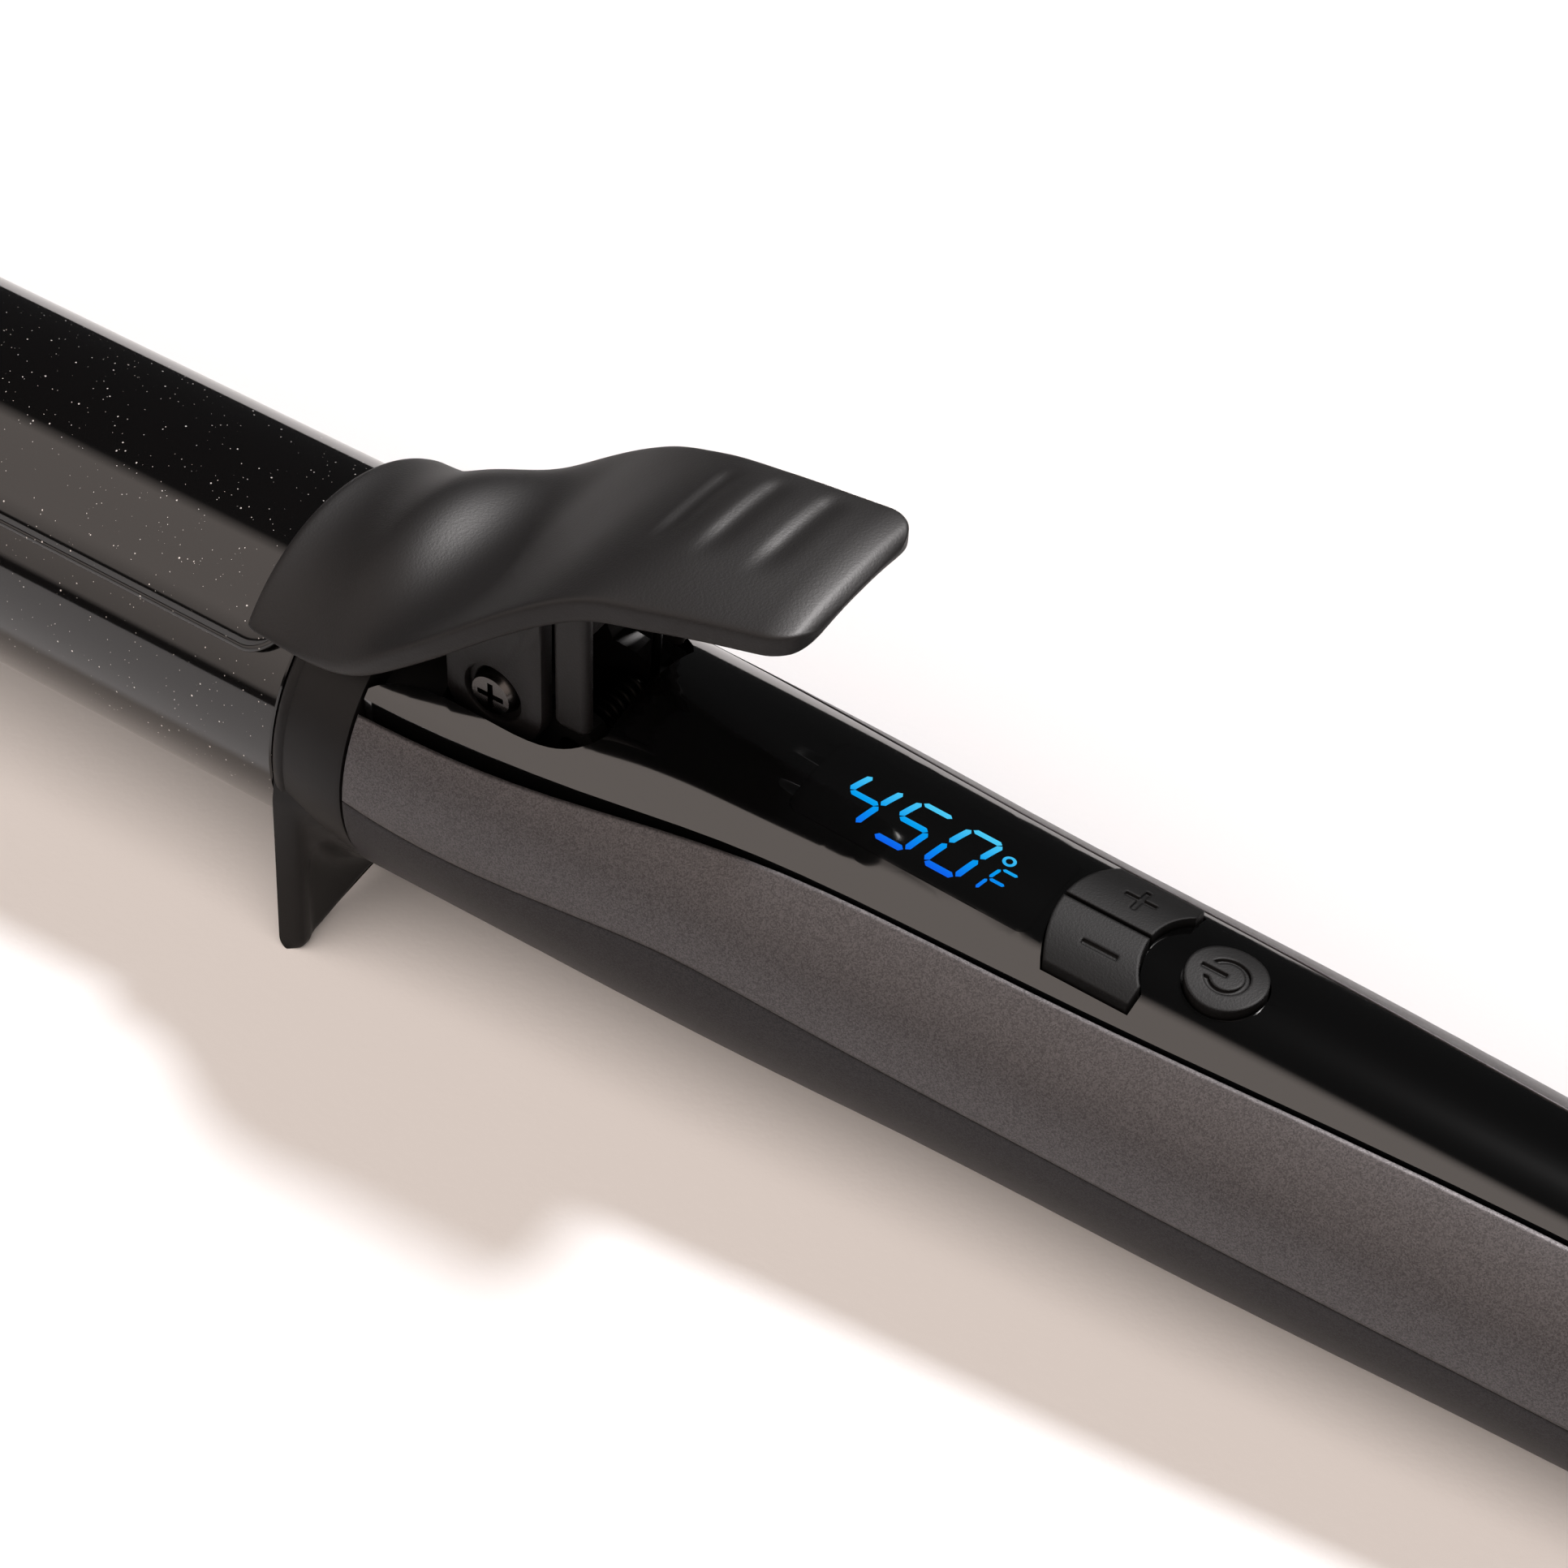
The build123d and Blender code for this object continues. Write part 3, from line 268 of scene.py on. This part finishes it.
FINISHES = {
    ceramic: ("barrel_tube", "clip_plate"),
    lever_abs: ("clip_lever",),
    collar_nylon: ("collar_stand", "cool_tip", "end_cap", "swivel_gland"),
    key_plastic: ("plus_key", "minus_key", "power_key"),
    upper_paint: ("upper_shell",),
    lower_paint_painted_shade: ("lower_shell",),
    piano: ("top_cover",),
    segments: ("display_digits",),
    window: ("display_lens",),
    screw_steel: ("pivot_screws", "shell_screws", "tip_screw"),
    spring_steel_painted_shade: ("torsion_spring", "spring_pin"),
    spring_steel: ("clip_rivets", "spreader_spring", "tip_bridge", "swivel_retainer"),
    bracket_resin: ("pivot_bracket", "barrel_seat", "tact_switches", "power_components"),
    board_laminate: ("main_board", "slip_ring_disc"),
    bare_aluminium: ("heat_spreader_upper", "heat_spreader_lower"),
    alumina: ("heater_plate",),
    glass_sleeve: ("heater_leads", "thermistor"),
    brass: ("contact_rings", "contact_brushes"),
    moulded_white: ("display_module",),
}
for finish, names in FINISHES.items():
    for name in names:
        CAD[name].data.materials.clear()
        CAD[name].data.materials.append(finish)


# ------------------------------------------------------------------ thumb lever
def crowned_arch(half, foot, crown, share, flat=0.0):
    """Points (y, z) of the arch from (-half, foot) over (0, crown) to (half, foot), at shares 0 to 1
    of its sweep.

    flat 0 is a circle's arc; towards 1 the middle flattens, to the rise times one less |y / half|
    to the power 3.5."""
    rise = crown - foot
    radius = (half**2 + rise**2) / (2 * rise)
    reach = np.arcsin(half / radius)
    y = radius * np.sin(reach * (2 * share - 1))
    arc = crown - radius + np.sqrt(np.maximum(radius**2 - y**2, 0))
    slab = foot + rise * (1 - np.abs(y / half) ** 3.5)
    return y, arc + flat * (slab - arc)


def evenly_spaced(ring, count):
    """Each closed ring of points, spaced evenly along its run, and the mean step between points."""
    closed = np.concatenate([ring, ring[:, :1]], 1)
    steps = np.linalg.norm(np.diff(closed, axis=1), axis=-1)
    run = np.concatenate([np.zeros((len(ring), 1)), np.cumsum(steps, 1)], 1)
    even = np.empty((len(ring), count, 2))
    for row in range(len(ring)):
        at = np.linspace(0, run[row, -1], count, endpoint=False)
        for k in (0, 1):
            even[row, :, k] = np.interp(at, run[row], closed[row, :, k])
    return even, run[:, -1].mean() / count


def softened(ring, step_mm, blur_mm):
    """Each closed ring of points averaged along itself with a bell curve, which rounds its corners."""
    count = ring.shape[1]
    offset = np.minimum(np.arange(count), count - np.arange(count)) * step_mm
    bell = np.exp(-0.5 * (offset / blur_mm) ** 2)
    bell /= bell.sum()
    spectrum = np.fft.fft(ring, axis=1) * np.fft.fft(bell)[None, :, None]
    return np.real(np.fft.ifft(spectrum, axis=1))


# Along the lever: half its width, its lower edge, its side wall's height, its crown and its sheet
LEVER_HALF = curve_through([
    (-4, 14.2), (0, 14.4), (4, 14.8), (8, 15.6), (12, 16.3), (16, 16.05), (20, 15.2), (24, 13.85),
    (28, 12.4), (32, 11.4), (36, 10.95), (40, 10.55), (44, 10.15), (48, 9.8), (52, 9.4)])
LEVER_EDGE = curve_through([
    (-4, 13.9), (0, 13.75), (4, 14.1), (8, 15.6), (12, 18.15), (16, 21.15), (20, 24.2), (24, 27.2),
    (28, 29.75), (32, 31.75), (36, 32.85), (40, 33.85), (44, 34.75), (48, 35.6), (52, 36.5)])
LEVER_WALL = curve_through([
    (-4, 0.2), (0, 0.3), (4, 0.6), (8, 1.4), (12, 2.2), (16, 2.7), (20, 2.9), (26, 2.9), (32, 2.7),
    (40, 2.5), (52, 2.3)])
LEVER_CROWN = curve_through([
    (-4, 20.1), (0, 20.6), (3, 22.1), (6, 23.8), (9, 24.3), (12, 23.9), (14.5, 24.0), (17, 25.0),
    (20, 27.2), (24, 30.3), (28, 33.2), (32, 35.4), (36, 36.9), (40, 37.7), (44, 38.3), (48, 38.8),
    (52, 39.3)])
LEVER_SHEET = curve_through([(-4, 2.1), (4, 2.5), (12, 2.3), (24, 2.3), (36, 2.6), (52, 2.6)])
LEVER_FRONT, LEVER_TIP = -3.7, 51.4
LEVER_RIM = 1.9
FRONT_ROUND, TIP_ROUND, TIP_TAPER = 1.1, 1.3, 4.6
TIP_CORNER_R = 3.4
CORNER_BLUR = 0.55
LEVER_COLUMNS = 420
GROOVES_AT = (32.9, 37.8, 43.2)
GROOVE_DEPTH = 0.38


def lever_grid():
    """Rings across the lever: a side wall, an arch over the crown, the other wall and the hollow's
    arch back.

    The rings' corners are averaged round, three grooves sink into the pad, and both ends close in on
    the sheet's middle along a half circle, the tip's also narrowing round its two plan corners."""
    front_end, tip_start = LEVER_FRONT + FRONT_ROUND, LEVER_TIP - TIP_TAPER
    x = np.concatenate([
        LEVER_FRONT + FRONT_ROUND * (1 - np.cos(np.linspace(0, np.pi / 2, 8)))[:-1],
        np.linspace(front_end, tip_start, 112)[:-1],
        LEVER_TIP - TIP_TAPER * (1 - np.sin(np.linspace(0, np.pi / 2, 22)))])
    half, edge, wall, crown, sheet = (
        f(x)[:, None] for f in (LEVER_HALF, LEVER_EDGE, LEVER_WALL, LEVER_CROWN, LEVER_SHEET))
    flat = (0.35 * ease(x, 24, 36))[:, None]
    corner = np.clip((x - (LEVER_TIP - TIP_CORNER_R)) / TIP_CORNER_R, 0, 1)[:, None]
    half = half - TIP_CORNER_R * (1 - np.sqrt(1 - corner**2))
    over = np.linspace(0, 1, 150)[None]
    side = np.linspace(0, 1, 12, endpoint=False)[None]
    rim = LEVER_RIM * np.linspace(0, 1, 14, endpoint=False)[None]
    in_half = half - LEVER_RIM
    y_over, z_over = crowned_arch(half, edge + wall, crown, over, flat)
    y_under, z_under = crowned_arch(in_half, edge, np.maximum(crown - sheet, edge + 0.4), over, flat)
    up, along_rim = np.ones_like(side), np.zeros_like(rim)
    y = np.hstack([-half * up, y_over, half * up, half - rim, -y_under, -in_half - rim])
    z = np.hstack([edge + wall * side, z_over, edge + wall * (1 - side), edge + along_rim, z_under,
                   edge + along_rim])
    even, step = evenly_spaced(np.stack([y, z], -1), LEVER_COLUMNS)
    y, z = np.moveaxis(softened(even, step, CORNER_BLUR), -1, 0)
    X = np.repeat(x[:, None], y.shape[1], 1)
    top = ease(z, edge + 0.6 * wall, edge + wall + 0.8)
    # Grooves: each falls steeply on the collar's side and runs out gently towards the tip
    for at in GROOVES_AT:
        d = X - at - 0.02 * y
        dip = np.where(d < 0, np.exp(-(d / 0.7) ** 2), np.exp(-(d / 1.5) ** 2))
        z = z - GROOVE_DEPTH * dip * ease(y, -5.0, 0.5) * (1 - ease(y, 6.5, 9.6)) * top
    # The pad's top rolls down to its tip
    z = z - 1.5 * top * (1 - np.sqrt(1 - np.clip((X - 47.4) / 4.2, 0, 1) ** 2))
    # Ends: the ring shrinks onto the sheet's middle line
    spine = np.stack(crowned_arch(
        np.maximum(half - LEVER_RIM / 2, 1.0), edge + 0.5 * wall, crown - 0.5 * sheet,
        np.linspace(0, 1, 120)[None], flat), -1)
    shrink = np.ones(len(x))
    for end, size in ((front_end - x, FRONT_ROUND), (x - LEVER_TIP + TIP_ROUND, TIP_ROUND)):
        near_end = end > 0
        shrink[near_end] = np.sqrt(np.clip(1 - (end[near_end] / size) ** 2, 0, 1))
    for row in np.flatnonzero(shrink < 1):
        spine_y, spine_z = spine[row].T
        apart = (y[row][:, None] - spine_y) ** 2 + (z[row][:, None] - spine_z) ** 2
        near = np.argmin(apart, 1)
        y[row] = spine_y[near] + shrink[row] * (y[row] - spine_y[near])
        z[row] = spine_z[near] + shrink[row] * (z[row] - spine_z[near])
    # The front edge bows forwards over the clip
    X = X - 0.9 * (1 - ease(X, -4, 5)) * np.clip((z - edge) / (crown - edge), 0, 1)
    return np.stack([X, y, z], -1)


skin("lever_shell", lever_grid(), lever_abs, "clip", ("clip_lever",))

# The lever's ears, the posts behind them and the cross wall that the spring pushes on
PIVOT_X, PIVOT_Z = 19.5, 14.4
EAR_INNER, EAR_OUTER = 6.45, 8.3
EAR_R, EAR_FRONT, EAR_REAR = 5.4, 5.1, 5.4
EAR_RISE, EAR_SLOPE = 9.9, 0.74
SCREW_BORE_R, RECESS_R, RECESS_DEPTH = 1.81, 3.0, 0.85


def ear_grid(side):
    """Rings about the pivot: the ear's outline on its inner and outer faces, then the screw's round
    recess.

    The outline is a half circle below the pivot whose two sides run straight up to the lever's
    sloping underside."""
    angle = np.linspace(0, 2 * np.pi, 160, endpoint=False)
    across, up = np.cos(angle), np.sin(angle)
    to_side = np.where(across > 0, EAR_REAR, EAR_FRONT) / np.maximum(np.abs(across), 1e-6)
    rise = up - EAR_SLOPE * across
    to_lever = np.where(rise > 1e-6, EAR_RISE / np.maximum(rise, 1e-6), 99.0)
    reach = np.where(up > 0, np.minimum(to_side, to_lever), np.minimum(to_side, EAR_R))
    floor_at = EAR_OUTER - RECESS_DEPTH
    # (radius, or 0 for the outline; distance from the middle; how far inside the outline)
    rings = [(SCREW_BORE_R, EAR_INNER, 0), (0, EAR_INNER, 0.3), (0, EAR_INNER + 0.3, 0),
             (0, EAR_OUTER - 0.35, 0), (0, EAR_OUTER - 0.1, 0.1), (0, EAR_OUTER, 0.35),
             (RECESS_R + 0.35, EAR_OUTER, 0), (RECESS_R + 0.1, EAR_OUTER - 0.12, 0),
             (RECESS_R, EAR_OUTER - 0.35, 0), (RECESS_R, floor_at, 0),
             (SCREW_BORE_R, floor_at, 0), (SCREW_BORE_R, EAR_INNER, 0)]
    grid = []
    for radius, depth, inset in rings:
        r = np.full_like(angle, radius) if radius else reach - inset
        ring = [PIVOT_X + r * across, np.full_like(angle, side * depth), PIVOT_Z + r * up]
        grid.append(np.stack(ring, -1))
    grid = np.array(grid)
    return grid[:, ::-1] if side > 0 else grid


def post_grid(low, high, radius):
    """Upright bar: rounded-rectangle rings from its rounded foot to its top."""
    (x0, y0, z0), (x1, y1, z1) = low, high
    turn = np.linspace(0, 2 * np.pi, 64, endpoint=False) + np.pi / 64
    across, along = np.cos(turn), np.sin(turn)
    grid = []
    for lift, inset in ((0, radius), (radius * 0.3, radius * 0.3), (radius, 0), (z1 - z0, 0)):
        straight_x, straight_y = (x1 - x0) / 2 - inset - radius, (y1 - y0) / 2 - inset - radius
        grid.append(np.stack([
            (x0 + x1) / 2 + np.sign(across) * straight_x + radius * across,
            (y0 + y1) / 2 + np.sign(along) * straight_y + radius * along,
            np.full_like(turn, z0 + lift)], -1))
    return np.array(grid)


POST_X, POST_Y, POST_HALF, POST_Z, POST_R = (25.7, 29.3), 7.05, 0.75, (13.9, 28.6), 0.7
WALL_X, WALL_Y, WALL_Z, WALL_R = (26.7, 28.1), (-7.4, 7.4), (23.5, 29.0), 0.3
for side, word in ((-1, "near"), (1, "far")):
    skin("lever_ear_" + word, ear_grid(side), lever_abs, "clip", crease=40)
    post_y = (side * POST_Y - POST_HALF, side * POST_Y + POST_HALF)
    post = post_grid(*zip(POST_X, post_y, POST_Z), POST_R)
    skin("lever_post_" + word, post, lever_abs, "clip", ends="fans")
skin("lever_cross_wall", post_grid(*zip(WALL_X, WALL_Y, WALL_Z), WALL_R), lever_abs, "clip",
     ends="fans")


# ------------------------------------------------------------------ barrel and clip
def turned_grid(profile, columns):
    """A profile of (distance along the axis, radius) turned into rings about the barrel's axis."""
    along, radius = np.array(profile, float).T
    angle = np.linspace(0, 2 * np.pi, columns, endpoint=False)[None]
    x = np.repeat(along[:, None], columns, 1)
    return np.stack([x, radius[:, None] * np.cos(angle), radius[:, None] * np.sin(angle)], -1)


BARREL_COLUMNS, COLLAR_COLUMNS = 288, 256
BARREL_R, BARREL_BORE_R, TUBE_FRONT, TUBE_REAR, TUBE_CHAMFER = 16.0, 15.0, -130.0, -0.2, 0.15
skin("barrel_coated_tube", turned_grid([
    (TUBE_FRONT, BARREL_BORE_R), (TUBE_FRONT, BARREL_R - TUBE_CHAMFER),
    (TUBE_FRONT + TUBE_CHAMFER, BARREL_R), (-60, BARREL_R), (TUBE_REAR - TUBE_CHAMFER, BARREL_R),
    (TUBE_REAR, BARREL_R - TUBE_CHAMFER), (TUBE_REAR, BARREL_BORE_R), (TUBE_FRONT, BARREL_BORE_R)],
    BARREL_COLUMNS), ceramic, "handle", ("barrel_tube",), crease=40)

CLIP_INNER_R, CLIP_SHEET, CLIP_FRONT, CLIP_REAR = 16.45, 1.15, -131.0, -0.6
CLIP_HALF_WIDTH, CLIP_CORNER_R = 14.05, 4.5
TONGUE_HALF_WIDTH, TONGUE_REAR = 8.0, 10.5
EDGE_FALL, EDGE_FALL_ANGLE = 0.5, 0.137


def clip_grid():
    """Rings round the bent sheet's section: its outer arc, a rolled edge, its inner arc and the other
    edge.

    The width narrows round the corner radii at both ends and steps to the tongue under the lever."""
    swing = CLIP_CORNER_R * (1 - np.cos(np.linspace(0, np.pi / 2, 20)))
    x = np.concatenate([CLIP_FRONT + swing, np.linspace(-120, -8, 60), CLIP_REAR - swing[::-1],
                        [CLIP_REAR + 0.02, TONGUE_REAR]])
    past_front, past_rear = CLIP_FRONT + CLIP_CORNER_R - x, x - CLIP_REAR + CLIP_CORNER_R
    into = np.clip(np.maximum(past_front, past_rear) / CLIP_CORNER_R, 0, 1)
    width = CLIP_HALF_WIDTH - CLIP_CORNER_R * (1 - np.sqrt(1 - into**2))
    width[-2:] = TONGUE_HALF_WIDTH
    reach = np.arcsin(width / (CLIP_INNER_R + CLIP_SHEET))[:, None]
    over = np.linspace(-1, 1, 160)[None]
    roll = np.linspace(0, np.pi, 18)[1:-1][None]
    middle_r, half = CLIP_INNER_R + CLIP_SHEET / 2, CLIP_SHEET / 2
    edge_angle = half / middle_r
    # The sheet's edge is thinned where it was rolled: the outer face falls over the last 2.4 mm
    from_edge = (np.abs(over * reach) - reach + EDGE_FALL_ANGLE) / EDGE_FALL_ANGLE
    fall = EDGE_FALL * np.clip(from_edge, 0, 1) ** 2
    thin_r, thin_half = middle_r - EDGE_FALL / 2, half - EDGE_FALL / 2
    flank = reach - edge_angle
    angle = np.hstack([over * flank, flank + edge_angle * np.sin(roll),
                       -over * flank, -flank - edge_angle * np.sin(roll)])
    rolled = thin_half * np.cos(roll) * np.ones_like(reach)
    radius = np.hstack([middle_r + half - fall, thin_r + rolled,
                        np.full_like(fall, middle_r - half), thin_r - rolled])
    along = np.repeat(x[:, None], angle.shape[1], 1)
    grid = np.stack([along, radius * np.sin(angle), radius * np.cos(angle)], -1)
    # Both ends close on the sheet's middle
    first, last = grid[:1].copy(), grid[-1:].copy()
    for ring in (first, last):
        turn = np.arctan2(ring[..., 1], ring[..., 2])
        ring[..., 1], ring[..., 2] = middle_r * np.sin(turn), middle_r * np.cos(turn)
    return np.concatenate([first, grid, last])[:, ::-1]


skin("clip_coated_sheet", clip_grid(), ceramic, "clip", ("clip_plate",), crease=60)

# ------------------------------------------------------------------ collar with its stand foot
# The ring's outside has a bead at its front and a soft shoulder at its rear
skin("collar_ring", turned_grid([
    (0.0, 13.05), (0.0, 15.75), (0.12, 16.05), (0.4, 16.2), (0.85, 16.22), (1.1, 16.15),
    (1.25, 16.02), (1.6, 16.05), (4.0, 16.1), (7.4, 16.08), (7.75, 15.98), (7.9, 15.7), (7.9, 13.05),
    (0.0, 13.05)], COLLAR_COLUMNS),
    collar_nylon, "handle", ("collar_stand",), crease=45)

COLLAR_R = 16.05
FOOT_THICKNESS, FOOT_CORNER_R = 2.5, 0.9
FOOT_TOP, FOOT_ARCH, FOOT_TIP, FOOT_FLOOR = -1.0, -19.5, -22.38, -22.4
FOOT_ROUND = 0.06  # share of the height over which the lower edge rounds


def foot_grid():
    """Rounded-rectangle rings from inside the collar down to the foot's two tips.

    The rear face is sunk between two side beads, swells into the collar with an even fillet, and the
    lower edge follows a shallow arch between the tips."""
    straight = 1 - FOOT_ROUND
    down = np.concatenate([
        np.linspace(0, straight, 60),
        straight + FOOT_ROUND * np.sin(np.linspace(0, np.pi / 2, 9)[1:])])[:, None]
    flat = np.linspace(-1, 1, 90)
    bend = np.linspace(0, np.pi / 2, 9)[1:-1]
    # Unit rounded rectangle: side -1 to 1, depth 0 to 1
    side = np.concatenate([flat, 1 + 0 * bend, flat[::-1], -1 + 0 * bend])[None]
    offset = np.concatenate([0 * flat, np.sin(bend), 0 * flat, np.sin(bend)])[None]
    depth = np.concatenate([0 * flat, 0.5 - 0.5 * np.cos(2 * bend), 1 + 0 * flat,
                            0.5 + 0.5 * np.cos(2 * bend)])[None]
    # The lower edge: level under each tip, an arch between them
    out = 17.0 * np.abs(side)
    arch = FOOT_ARCH - (FOOT_ARCH - FOOT_TIP) * ease(out, 1.5, 17.5) ** 0.8
    bottom = np.where(out > 15.0, FOOT_TIP, arch)
    z = FOOT_TOP + (bottom - FOOT_TOP) * down
    # The sides flare from the collar's radius to 16.5 mm, then to 17.3 mm at the floor
    half = np.where(z > -4, COLLAR_R + (16.5 - COLLAR_R) * ease(-z, 1, 4), 16.5 + 0.8 * (-4 - z) / 18)
    y = side * (half - FOOT_CORNER_R) + np.sign(side) * offset * FOOT_CORNER_R
    underside = -np.sqrt(np.maximum(COLLAR_R**2 - y**2, 0))
    clear = np.maximum(underside - z, 0)
    swell = 5.3 * np.exp(-clear / 1.5) * (1 - ease(np.abs(y), half - 2.2, half - 0.2))
    sunk = 0.4 * (1 - ease(np.abs(y), half - 2.6, half - 1.7)) * (1 - np.exp(-clear / 1.2))
    thick = FOOT_THICKNESS + swell - sunk
    rounded = np.sqrt(np.clip(1 - ((down - straight) / FOOT_ROUND) ** 2, 0, 1))
    close = np.where(down > straight, rounded, 1.0)
    x = thick * (0.5 + (depth - 0.5) * (0.25 + 0.75 * close))
    return np.stack([x, y, np.maximum(z, FOOT_FLOOR)], -1)


skin("collar_foot", foot_grid(), collar_nylon, "handle", ends="fans", crease=60)

# ------------------------------------------------------------------ floor
paper, paper_tree, paper_shader = finish_of("floor_matt_paper", "#f4f2f0", 0.9,
                                            Specular_IOR_Level=0.1)
fibres = add(paper_tree, "ShaderNodeTexNoise", {"Vector": object_place(paper_tree),
                                                "Scale": PER_MM / 0.9, "Detail": 3.0})
relief = add(paper_tree, "ShaderNodeBump", {"Height": fibres.outputs["Fac"], "Strength": 0.25,
                                            "Distance": 0.08 / PER_MM})
paper_tree.links.new(relief.outputs["Normal"], paper_shader.inputs["Normal"])
# The sheet of paper ends 0.22 m behind the iron, where the studio is dark
PAPER_X, PAPER_Y = (-0.35, 0.6), (-1.5, 0.22)
(x0, x1), (y0, y1) = PAPER_X, PAPER_Y
floor_mesh = bpy.data.meshes.new("floor")
floor_mesh.from_pydata([(x0, y0, 0), (x1, y0, 0), (x1, y1, 0), (x0, y1, 0)], [], [(0, 1, 2, 3)])
floor_mesh.materials.append(paper)
floor = bpy.data.objects.new("floor", floor_mesh)
bpy.context.scene.collection.objects.link(floor)

# ------------------------------------------------------------------ lights
TOWARDS_KEY = Vector((0.156, 0.449, 0.880))
SOURCE_ANGLE = math.radians(8.0)
KEY_ENERGY, GLINT_ENERGY = 2.2, 12.0
KEY_COLOUR, GLINT_COLOUR = (0.95, 0.99, 1.07), (1.0, 0.95, 0.93)


def sun(name, energy, colour):
    """A source 8 degrees wide, high behind the iron, so its shadow falls towards the front."""
    light = bpy.data.lights.new(name, "SUN")
    light.energy = energy
    light.angle = SOURCE_ANGLE
    light.color = colour
    lamp = bpy.data.objects.new(name, light)
    lamp.rotation_euler = TOWARDS_KEY.to_track_quat("Z", "Y").to_euler()
    bpy.context.scene.collection.objects.link(lamp)
    return lamp


sun("key", KEY_ENERGY, KEY_COLOUR)
# The glint only adds to the key's highlights on the satin plastics
sun("glint", GLINT_ENERGY, GLINT_COLOUR).visible_diffuse = False

# Surroundings: one broad warm sheet on the near side, from just over the horizon to overhead, a
# little brighter towards its top, and darkness behind. The lens itself sees plain white.
SHEET_COLOUR, DARK_COLOUR, WHITE = (1.42, 1.24, 1.14, 1), (0.03, 0.03, 0.03, 1), (1, 1, 1, 1)
world = bpy.data.worlds.new("studio")
bpy.context.scene.world = world
world.use_nodes = True
sky = world.node_tree
sky.nodes.clear()
towards = add(sky, "ShaderNodeTexCoord").outputs["Generated"]
direction = add(sky, "ShaderNodeSeparateXYZ", {"Vector": towards})
near_side = add(sky, "ShaderNodeMapRange", {"Value": direction.outputs["Y"], "From Min": 0.06,
                                            "From Max": -0.06})
above = add(sky, "ShaderNodeMapRange", {"Value": direction.outputs["Z"], "From Min": 0.03,
                                        "From Max": 0.09})
rise = add(sky, "ShaderNodeMapRange", {"Value": direction.outputs["Z"], "From Min": 0.1,
                                       "From Max": 0.6, "To Min": 0.72, "To Max": 1.1})
sheet = near_side.outputs["Result"]
for part in (above, rise):
    sheet = add(sky, "ShaderNodeMath", {0: sheet, 1: part.outputs["Result"]},
                operation="MULTIPLY").outputs["Value"]
lit = mix(sky, sheet, DARK_COLOUR, SHEET_COLOUR, clamp_factor=False)
seen = add(sky, "ShaderNodeLightPath").outputs["Is Camera Ray"]
backdrop = add(sky, "ShaderNodeBackground", {"Color": mix(sky, seen, lit, WHITE)})
add(sky, "ShaderNodeOutputWorld", {"Surface": backdrop.outputs["Background"]})

bpy.context.scene.view_settings.view_transform = "Standard"

# ------------------------------------------------------------------ camera
# A fairly long lens over the near side of the collar. Its place and its three angles are in the
# barrel's frame: the azimuth and elevation of the line back to it, and its roll.
CAMERA_AT = (166.112, -193.611, 240.370)
SENSOR_MM, LENS_MM = 36.0, 85.71
AZIMUTH, ELEVATION, ROLL = (math.radians(a) for a in (-57.92447, 45.06327, 2.63652))
back = np.array([math.cos(ELEVATION) * math.cos(AZIMUTH), math.cos(ELEVATION) * math.sin(AZIMUTH),
                 math.sin(ELEVATION)])
level = np.array([-math.sin(AZIMUTH), math.cos(AZIMUTH), 0.0])
upright = np.cross(back, level)
right = math.cos(ROLL) * level + math.sin(ROLL) * upright
up = math.cos(ROLL) * upright - math.sin(ROLL) * level
camera_data = bpy.data.cameras.new("camera")
camera_data.sensor_width = SENSOR_MM
camera_data.lens = LENS_MM
camera = bpy.data.objects.new("camera", camera_data)
bpy.context.scene.collection.objects.link(camera)
bpy.context.scene.camera = camera
origin = lay_down(np.zeros(3))
axes = (lay_down(np.array([right, up, back])) - origin).T * PER_MM
place = lay_down(np.array(CAMERA_AT))
camera.matrix_world = Matrix([[*axes[i], place[i]] for i in range(3)] + [[0, 0, 0, 1]])
